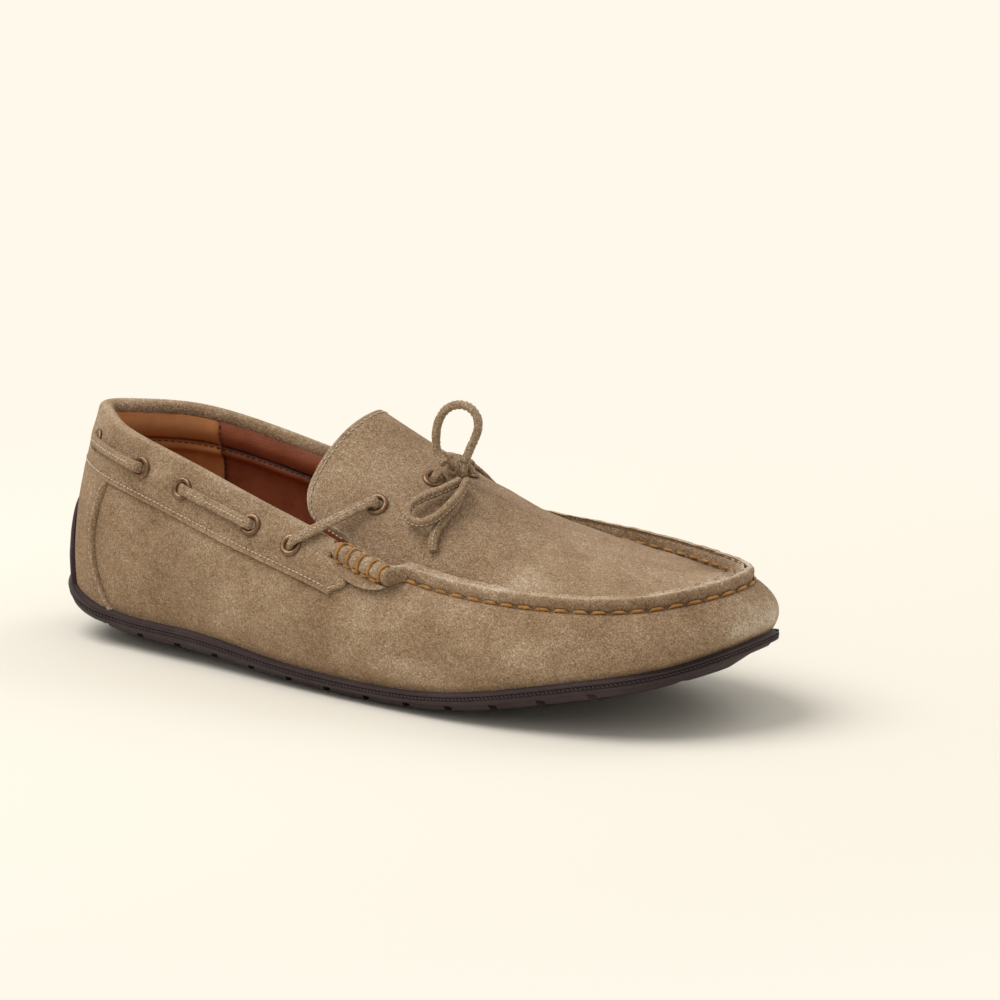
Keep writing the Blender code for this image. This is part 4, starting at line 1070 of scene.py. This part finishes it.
def make_roll_thread(tag, side):
    """The thread wound over a roll, and the stitches along its edges."""
    along, swing = wrap_path(BANDS)
    mid, _, out, across = roll_frame(side * (BAND_START + BAND_SPAN * along), side)
    path = mid + (ROLL_R - PINCH + 0.28) * (out * np.cos(swing)[:, None] + across * np.sin(swing)[:, None])
    path = even(path, 320)
    parts = [tube_data(path, unit(path - even(mid, 320)), 1.0, 1.0, sides=10)]
    # a short run of stitches along both long edges
    mid, _, out, across = roll_frame(side * (5.20 + 0.72 * np.linspace(0, 1, 200)), side)
    for angle in (radians(96), radians(-98)):
        away = out * cos(angle) + across * sin(angle)
        parts.append(stitch_data(mid + 3.35 * away, unit(away + out * 0.7), 4.1, 3.5, 0.95,
                                 proud=0.5, sides=9, count=9, jitter=0.06, seed=7))
    make(f"beefroll_thread_{tag}_v", *grids(parts), "ochre", nodes=(f"beefroll_thread_{tag}",),
         sharp=70, closed=False)


def make_roll_patch(tag, side):
    """The tab of leather under the roll."""
    u = np.unique(np.concatenate([np.linspace(0, 1, 70), [.006, .015, .03, .97, .985, .994]]))[:, None]
    v = np.array([0, .2, .4, .6, .75, .86, .92, .96, .985, 1.0])[None]
    t = side * (5.02 + 0.89 * u)
    deep = 12.6 * np.sin(pi * (0.16 + 0.72 * u)) ** 0.5 - 8.0
    s = 8.0 + deep * v
    mm = np.minimum(deep * (1 - v), np.minimum(u, 1 - u) * 32)
    d = 1.6 + 1.15 * edge_round(mm) + 0.12 * SOFT(t * 3, s)
    shell(f"roll_patch_{tag}_v", on_wall(t, s, d), on_wall(t, s, 1.62), "suede",
          wear_and_painted_light=0.20 * hill(mm, 0, 0.6) - 0.06 * hill(mm, 1.6, 0.6), nodes=(f"roll_patch_{tag}",), sharp=65)


def make_rolls():
    for tag, side in SIDES:
        make_roll(tag, side)
        make_roll_thread(tag, side)
        make_roll_patch(tag, side)


# ---------------------------------------------------------------- lacing
COLLAR_X = (19.5, 47.5, 67.0, 99.2, 117.6)
TONGUE_PQ = {"outer_lateral": (0.124, -0.49), "inner_lateral": (0.178, -0.16),
             "inner_medial": (0.196, 0.14), "outer_medial": (0.124, 0.49)}


def side_t(x, side):
    """Ring position where the lace's channel passes x mm from the heel."""
    t = np.linspace(0.2, 6, 200)
    return side * float(np.interp(x, on_wall(side * t, CHANNEL_S, 0.0)[:, 0], t))


COLLAR_T = {side: [side_t(x, side) for x in COLLAR_X] for side in (1, -1)}


def eyelet(name, centre, axis, leather_mm):
    """Rolled metal ring with a barrel through the leather and a flange behind."""
    z = unit(np.asarray(axis))
    x = unit(np.cross(z, [0.3, 0.2, 1.0]))
    y = np.cross(z, x)
    roll = np.radians(np.linspace(-35, 205, 15))
    mid, thick = 3.12, 0.98
    ring = [(mid + thick * cos(a), 0.36 + 0.72 * sin(a)) for a in roll]
    barrel = [(2.12, 0.0), (2.06, -0.5), (2.05, -leather_mm - 0.6)]
    back = [(3.3, -leather_mm - 0.62), (3.5, -leather_mm - 0.42), (3.3, -leather_mm - 0.26),
            (2.6, -leather_mm - 0.24), (2.58, -0.1)]
    profile = ring + barrel + back + [(3.9, 0.02)]
    turns = 2 * pi * np.arange(44) / 44
    loops = np.array([[centre + r * (cos(b) * x + sin(b) * y) + h * z for r, h in profile] for b in turns])
    make(name + "_v", loops, ring_faces(len(turns), len(profile), closed=True), "bronze", nodes=(name,),
         sharp=50)


def make_eyelets():
    for tag, side in SIDES:
        for k, t in enumerate(COLLAR_T[side]):
            eyelet(f"eyelet_{tag}_{k + 1}", on_wall(t, CHANNEL_S, 0.6 + SUEDE), normal_at(t, CHANNEL_S),
                   SUEDE + 0.3)
    for tag, (p, q) in TONGUE_PQ.items():
        eyelet(f"eyelet_tongue_{tag}", on_apron(p, q, 0.05), apron_normal(p, q), APRON)


def lace_data(path, side, wide=LACE_W + 0.3, thick=LACE_T + 0.35, face=None, both=False, ends=None):
    """Folded suede lace with a stitched middle: its body, and its stitches."""
    n = max(24, int(length_of(path) / 0.7))
    joined = even(np.concatenate([path, np.broadcast_to(side, path.shape)], 1), n)
    path, side = joined[:, :3], unit(joined[:, 3:])
    run = unit(np.gradient(path, axis=0))
    side = unit(side - run * (side * run).sum(1)[:, None])
    k = np.arange(n)
    scale = 1 + 0.035 * np.sin(k * 0.9) + 0.03 * np.sin(k * 0.37 + 1)
    if ends is not None:
        scale = scale * ends(np.linspace(0, 1, n))
    thread = []
    for way in ((1, -1) if both else (1,)):
        normal = np.cross(run, side) * way
        if face is not None and (normal * face).sum() < 0:
            normal = -normal
        thread.append(stitch_data(path + normal * (thick / 2 - 0.05), normal, wide=0.42, seed=5,
                                  **LACE_STITCH))
    return tube_data(path, side, wide, thick, sides=16, power=2.7, scale=scale), thread


OUT_D, IN_D = 3.7, -2.0   # how far outside the wall the lace runs, and how far inside
LACE_STITCH = dict(pitch=1.75, long=1.3, proud=0.3, sides=6, count=6, jitter=0.15)


def through(t, way):
    """Path of the lace through a collar eyelet: way +1 comes out as |t| grows."""
    steps = [(-4.5, IN_D), (-1.7, IN_D), (-0.5, -1.3), (-0.1, 0.0), (0.1, 1.5),
             (0.5, 2.9), (1.7, OUT_D), (4.5, OUT_D)]
    if way < 0:
        steps = [(-m, d) for m, d in steps[::-1]]
    mm_per_t = np.linalg.norm(on_wall(t + 0.05, CHANNEL_S, 0.0) - on_wall(t - 0.05, CHANNEL_S, 0.0)) / 0.1
    return [(t + np.sign(t) * m / mm_per_t, d) for m, d in steps]


def make_collar_lace():
    """The lace round the collar, in and out of the eyelets; returns its stitches."""
    half = {}
    for side, t in COLLAR_T.items():
        run = through(t[0], 1)
        for k in range(1, 5):
            outside = k % 2
            run += [((t[k - 1] + t[k]) / 2, OUT_D - 0.5 if outside else IN_D)]
            run += through(t[k], -1 if outside else 1)
        half[side] = run[:-5]
    t, d = np.array(half[-1][::-1] + [(-0.3, IN_D), (0.0, IN_D), (0.3, IN_D)] + half[1]).T
    path = smooth_path(on_wall(t, CHANNEL_S, d), 900)
    side = smooth_path(on_wall(t, CHANNEL_S - 1, d) - on_wall(t, CHANNEL_S + 1, d), 900)
    t, d = smooth_path(np.stack([t, d, d], 1), 900)[:, :2].T
    make("lace_collar_v", *lace_data(path, side)[0], "lace", nodes=("lace_collar",), sharp=60)
    normal = normal_at(t, CHANNEL_S)
    turns = np.flatnonzero(np.diff(np.concatenate([[0], d > 2.4, [0]])))
    return [stitch_data(path[a:b] + normal[a:b] * (LACE_T / 2 + 0.14), normal[a:b], wide=0.44, seed=5,
                        **LACE_STITCH) for a, b in zip(turns[::2], turns[1::2])]


def make_span(tag, side):
    """The straight lace from the collar's last eyelet to the flap; returns its stitches."""
    t5, (p, q) = COLLAR_T[side][4], TONGUE_PQ["outer_" + tag]
    over = [on_wall(t5, CHANNEL_S, 0.4), on_wall(t5, CHANNEL_S, 1.9),
            on_wall(t5 + side * 0.02, CHANNEL_S - 0.6, 3.3), on_wall(t5 + side * 0.07, CHANNEL_S - 2.5, 4.0)]
    if side < 0:
        over.append(on_wall(t5 + side * 0.2, CHANNEL_S - 7.5, 3.6))
    near = [on_apron(p - 0.005, q * 1.03, 3.1), on_apron(p, q, 2.1), on_apron(p, q, 0.4)]
    straight = [over[-1] + (near[0] - over[-1]) * k for k in (0.1, 0.3, 0.5, 0.7, 0.9)]
    points = np.array(over + straight + near)
    down = on_wall(t5, CHANNEL_S - 1, 0.0) - on_wall(t5, CHANNEL_S + 1, 0.0)
    axis = apron_normal(p, q)
    cross = unit(np.cross(near[0] - near[-1], axis))
    cross = cross * (1 if (cross * down).sum() > 0 else -1)
    turn = np.linspace(0, 1, len(points))[:, None]
    sides = smooth_path(unit(down) * (1 - turn) + cross * turn, 120)
    body, thread = lace_data(smooth_path(points, 120), sides,
                             face=unit(normal_at(t5, CHANNEL_S) + axis))
    make(f"lace_span_{tag}_v", *body, "lace", nodes=(f"lace_span_{tag}",), sharp=60)
    return thread


def make_under_lace(tag):
    """The lace between the flap's two eyelets on one side, under the leather."""
    (p1, q1), (p2, q2) = TONGUE_PQ["outer_" + tag], TONGUE_PQ["inner_" + tag]
    middle = ((p1 + p2) / 2, (q1 + q2) / 2)
    points = [on_apron(*at) for at in (
        (p1, q1, -0.1), (p1, q1, -2.4), (p1 + 0.01, q1 * 0.93, -4.3), (*middle, -4.6),
        (p2 - 0.01, q2 + 0.1 * (q1 - q2), -4.3), (p2, q2, -2.4), (p2, q2, 1.4), (p2 + 0.002, q2 * 0.8, 3.6))]
    cross = unit(np.cross(points[4] - points[2], apron_normal(*middle)))
    body, _ = lace_data(smooth_path(points, 90), cross, wide=LACE_W - 0.3, thick=LACE_T)
    make(f"lace_under_{tag}_v", *body, "lace", nodes=(f"lace_under_{tag}",), sharp=60)


def make_lace():
    threads = make_collar_lace()
    for tag, side in SIDES:
        threads += make_span(tag, side)
        make_under_lace(tag)
    make("lace_stitching", *grids(threads), "cream", sharp=70, closed=False)


def make_bow():
    """The two loops and the two ends of the lace, and their knot."""
    upper = [(158.6, -8.0, 78.6), (155.4, -7.2, 81.4), (154.2, -6.5, 85.2), (154.1, -5.2, 92.0),
             (156.6, -3.8, 97.0), (160.6, -2.6, 99.0), (165.0, -1.8, 98.4), (167.9, -1.5, 95.5),
             (168.5, -1.5, 91.8), (167.4, -1.8, 87.8), (166.1, -2.4, 84.6), (165.2, -2.9, 82.0),
             (164.0, -3.1, 79.6)]
    lower = [(164.7, -7.8, 73.0), (162.2, -15.5, 71.1), (158.6, -21.5, 69.3), (156.4, -26.3, 67.0),
             (156.6, -28.8, 64.6), (159.2, -30.2, 62.8), (163.2, -30.0, 62.4), (166.4, -26.8, 63.7),
             (168.2, -20.5, 66.9), (168.6, -13.5, 70.3), (167.6, -7.6, 73.4)]
    front_end = [(165.4, -4.8, 71.9), (166.8, -10.5, 68.9), (168.0, -16.0, 65.9), (167.8, -21.0, 63.1),
                 (167.4, -26.6, 59.7), (168.2, -30.4, 56.3), (169.8, -32.6, 53.6)]
    p = np.array([0.152, 0.153, 0.157, 0.166, 0.178, 0.190])
    q = np.array([0.06, 0.17, 0.29, 0.42, 0.57, 0.72])
    back = smooth_path(on_apron(p, q, np.array([1.8, 1.4, 1.3, 1.3, 1.3, 1.3])), 20)
    back_run = np.gradient(back, axis=0)[[0, 4, 8, 12, 16, 19]]
    wide, thick, n = 3.5, 2.8, 60
    threads, cords = [], []
    for name, points in (("bow_loop_upper", upper), ("bow_loop_lower", lower),
                         ("lace_end_front", front_end), ("lace_end_back", back)):
        path = smooth_path(points, n)
        ends = None if "loop" in name else lambda x: 1 - 0.25 * smooth(x, 0.97, 1.0)
        if "loop" in name:
            side = np.tile(unit(np.cross(path[20] - path[0], path[40] - path[0])), (n, 1))
        elif name == "lace_end_front":
            side = np.cross(np.gradient(path, axis=0), [0.25, -0.5, 0.8])
        else:
            side = smooth_path(np.cross(back_run, apron_normal(p, q)), n)
        body, thread = lace_data(path, side, wide=wide, thick=LACE_T if name == "lace_end_back" else thick,
                                 both=True, ends=ends)
        cords.append((make(name + "_v", *body, "lace", nodes=(name,), sharp=60), name, path))
        threads += thread
    threads += make_knot(on_apron(0.197, -0.01, 4.9), apron_normal(0.197, -0.01))
    stitched = make("bow_stitching", *grids(threads), "cream", sharp=70, closed=False)
    for obj, name, path in cords:
        path = (path - ORIGIN) * MM


def make_knot(at, normal):
    """A lace turned round the crossing of the two loops; returns its stitches."""
    across = np.array([0.84, 0.54, 0.0])
    across = unit(across - normal * (across * normal).sum())
    along = np.cross(normal, across)
    a = np.linspace(0, 2 * pi, 48, endpoint=False)
    k = np.linspace(-pi / 2, pi / 2, 24)
    ball = np.array([[at + across * (4.3 * cos(v) * cos(b) * (1 + 0.06 * sin(3 * b)))
                      + along * (2.8 * cos(v) * sin(b) * (1 + 0.05 * sin(2 * b + 1)))
                      + normal * 2.7 * sin(v) for b in a] for v in k])
    parts, threads = [(ball, ring_faces(len(k), len(a)))], []
    b = np.linspace(0, 2 * pi, 64, endpoint=False)
    # tilt in degrees, radius sideways, radius upward, offset, width
    for tilt, r1, r2, off, wide in ((14, 3.0, 3.1, -1.5, 3.4), (-24, 3.1, 3.0, 2.0, 3.1),
                                    (62, 4.4, 2.5, 0.2, 2.6)):
        c, s = cos(radians(tilt)), sin(radians(tilt))
        axis, other = across * c + along * s, along * c - across * s
        ring = (at + axis * off + other * (r1 * np.cos(b))[:, None] + normal * (r2 * np.sin(b))[:, None]
                + axis * (0.7 * np.sin(b * 2 + 1))[:, None])
        parts.append(tube_data(ring, axis, wide, LACE_T - 0.1, sides=16, power=2.7, closed=True))
        out = unit(other * np.cos(b)[:, None] + normal * np.sin(b)[:, None])
        threads.append(stitch_data(ring + out * 0.68, out, wide=0.42, seed=9, **LACE_STITCH))
    make("bow_knot_v", *grids(parts), "lace", nodes=("bow_knot",), sharp=60, closed=False)
    return threads


# ---------------------------------------------------------------- sole
def tread_z(x):
    """Height of the tread's middle, x mm from the heel: both ends curve up."""
    return 18.9 * np.clip((x - 172) / 100, 0, None) ** 1.49 + 5.0 * np.clip((24 - x) / 20, 0, None) ** 2


def rim_out(t):
    """How far outside the feather line the rim starts: further over the heel cover."""
    return 2.1 - 1.75 * front(t, 1.55, 2.0)


def cut_grooves(sole, lateral, medial):
    """Slots straight across the tread, following its height at each x."""
    parts = []
    for x in np.arange(26.0, 262.0, 18.0):
        (y_a, z_a), (y_b, z_b) = ([np.interp(x, edge[:, 0], edge[:, k]) for k in (1, 8)]
                                  for edge in (lateral, medial))
        z = tread_z(x)
        loop = [(y_a - 8, z_a + 2.2), (y_a, z_a + 2.2), (y_a + 13, z + 2.2), (y_b - 13, z + 2.2),
                (y_b, z_b + 2.2), (y_b + 8, z_b + 2.2), (y_b + 8, -12.0), (y_a - 8, -12.0)]
        parts.append((np.array([[(x + h, *at) for at in loop] for h in (-1.5, 1.5)]),
                      ring_faces(2, len(loop), caps=True)))
    points, faces = grids(parts)
    mesh = bpy.data.meshes.new("groove_cutter")
    mesh.from_pydata(((points - ORIGIN) * MM).tolist(), [], faces)
    bm = bmesh.new()
    bm.from_mesh(mesh)
    bmesh.ops.recalc_face_normals(bm, faces=bm.faces)
    bm.to_mesh(mesh)
    bm.free()
    cutter = add_object("groove_cutter", mesh)
    mod = sole.modifiers.new("grooves", "BOOLEAN")
    mod.operation, mod.solver, mod.object = "DIFFERENCE", "EXACT", cutter
    result = bpy.data.meshes.new_from_object(sole.evaluated_get(bpy.context.evaluated_depsgraph_get()))
    sole.modifiers.clear()
    sole.data = result
    result.shade_smooth()
    result.set_sharp_from_angle(angle=radians(35))
    bpy.data.objects.remove(cutter)


def make_sole():
    """Rubber sole from rings that go from the tread, over the rim and down inside it."""
    n = 480
    u = np.arange(n) / n
    t = RING * (u - 0.035 * np.sin(4 * pi * u))
    zero = 0 * t
    c = station(t)
    zb = c[:, 8]
    under = rim_out(t)
    near = near_t(t)
    rise = 0.43 * np.sqrt(np.clip(1 - (near / 1.1) ** 2, 0, 1)) * (1 - smooth(near, 1.0, 1.1))
    mid = (zb + 2.8 + c[:, 2]) / 2
    thin = 1.0 * (1 - front(t, 0.9, 1.7))

    def side(out, z):
        return below(t, under - 0.35 + out, z)

    def up_wall(k, d):
        v = rise * k
        return wall(t, v) + wall_normal(t, np.maximum(v, 0.02)) * (under - 0.35 + d)[:, None]

    flat = []
    for inset in (30.0, 22.0, 12.0, 6.0):
        f = below(t, zero - inset, zb)
        k = smooth(inset, 0, 12)
        f[:, 2] = tread_z(f[:, 0]) * k + zb * (1 - k)
        flat.append(f)
    rims = flat[2:] + [
        below(t, zero - 1.6, zb), below(t, zero - 0.6, zb + 0.15), below(t, zero + 0.1, zb + 0.5),
        below(t, zero + 0.45, zb + 1.2), below(t, zero + 0.6, zb + 2.3), side(1.0, zb + 2.6),
        side(1.75, zb + 2.75), side(2.15, zb + 3.1), side(2.4, zb + 3.6),
        side(2.45, mid - 1.5), side(2.4, mid - 0.9), side(1.95, mid - 0.6),
        side(1.8, mid), side(1.95, mid + 0.6), side(2.4, mid + 0.9), side(2.45, mid + 1.4),
        up_wall(0.0, 2.35 - thin), up_wall(0.15, 2.55 - thin), up_wall(0.5, 2.7 - thin),
        up_wall(0.85, 2.5 - thin), up_wall(0.97, 2.3 - thin), up_wall(1.0, 2.0 - thin),
        up_wall(1.0, 0.8), up_wall(1.0, 0.2), up_wall(0.5, 0.2), up_wall(0.0, 0.2),
        floor(t, under, -3.0), floor(t, zero - 1.3, -4.0), floor(t, zero - 12.0, -4.0)]
    k = len(rims)
    faces = ring_faces(k, n)
    for base, flip in ((0, 1), ((k - 1) * n, -1)):
        faces.append([base, base + 1, base + n - 1][::-flip])
        faces.append([base + n // 2, base + n // 2 + 1, base + n // 2 - 1][::-flip])
        for i in range(1, n // 2 - 1):
            faces.append([base + i, base + i + 1, base + n - i - 1, base + n - i][::-flip])
    sole = make("rubber_sole", np.concatenate(rims), faces, "rubber", nodes=("outsole",), sharp=35)
    cut_grooves(sole, c[t <= RING / 2], c[t >= RING / 2][::-1])
    # the rope line moulded in the rim's middle groove
    t = np.linspace(0.0, RING, 3000)
    c = station(t)
    path = below(t, rim_out(t) + 1.4, (c[:, 8] + 2.8 + c[:, 2]) / 2)
    stitches("rim_rope", [(path, sideways(t, 0))], "rubber", pitch=1.55, long=2.3, wide=0.95,
             slant=radians(33), proud=0.35, sink=0.4, sides=6, count=5)


def make_plate(name, inset, low, high, mat, node, dome=0.0):
    """Layer inside the shoe; low and high give its faces' heights over x."""
    t = np.linspace(0.12, RING / 2 - 0.14, 75)
    near, far = floor(t, -inset, 0.0), floor(RING - t, -inset, 0.0)
    share = (q_grid(31) * 0.5 + 0.5)[None, :, None]
    mid = near[:, None] * (1 - share) + far[:, None] * share
    x = mid[..., 0]
    edge = np.minimum(share[..., 0], 1 - share[..., 0]) * 60 + 0 * x
    raised = high(x) - 0.5 * (1 - edge_round(edge)) + dome * SOFT(x / 9, edge / 3)
    # painted shade darkens the layer along its edges, where it meets the wall; it is lighter round the heel
    # seat
    shell(name, mid + UP * raised[..., None], mid + UP * low(x)[..., None], mat, nodes=(node,),
          wear_and_painted_light=0.12 * hill(x, 50, 30) - 0.1 * hill(edge, 0, 5))


def make_insole():
    """The insole board and the sock liner over it."""
    heel = lambda x: 2.8 * (1 - smooth(x, 78, 100))   # the sock liner lies over the heel cushion
    make_plate("insole_board_v", 5.4, lambda x: -2.0 + 0 * x, lambda x: -0.6 + 0 * x, "board",
               "insole_board")
    make_plate("sock_v", 5.2, lambda x: heel(x) - 0.3, lambda x: heel(x) + 0.95, "tan", "sock_liner",
               dome=0.12)


def dress_hidden_nodes():
    """Inner pieces whose CAD shape stays: only their material is replaced."""
    for name, mat in (("heel_stiffener", "board"), ("heel_cushion", "foam")):
        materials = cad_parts[name].data.materials
        materials.clear()
        materials.append(MAT[mat])


make_camera()
make_stage()
MAT.update(make_materials())
make_bow()
make_lace()
make_eyelets()
make_vamp()
make_collar()
make_heel_cover()
make_linings()
make_apron()
make_seam_threads()
make_rolls()
make_sole()
make_insole()
dress_hidden_nodes()
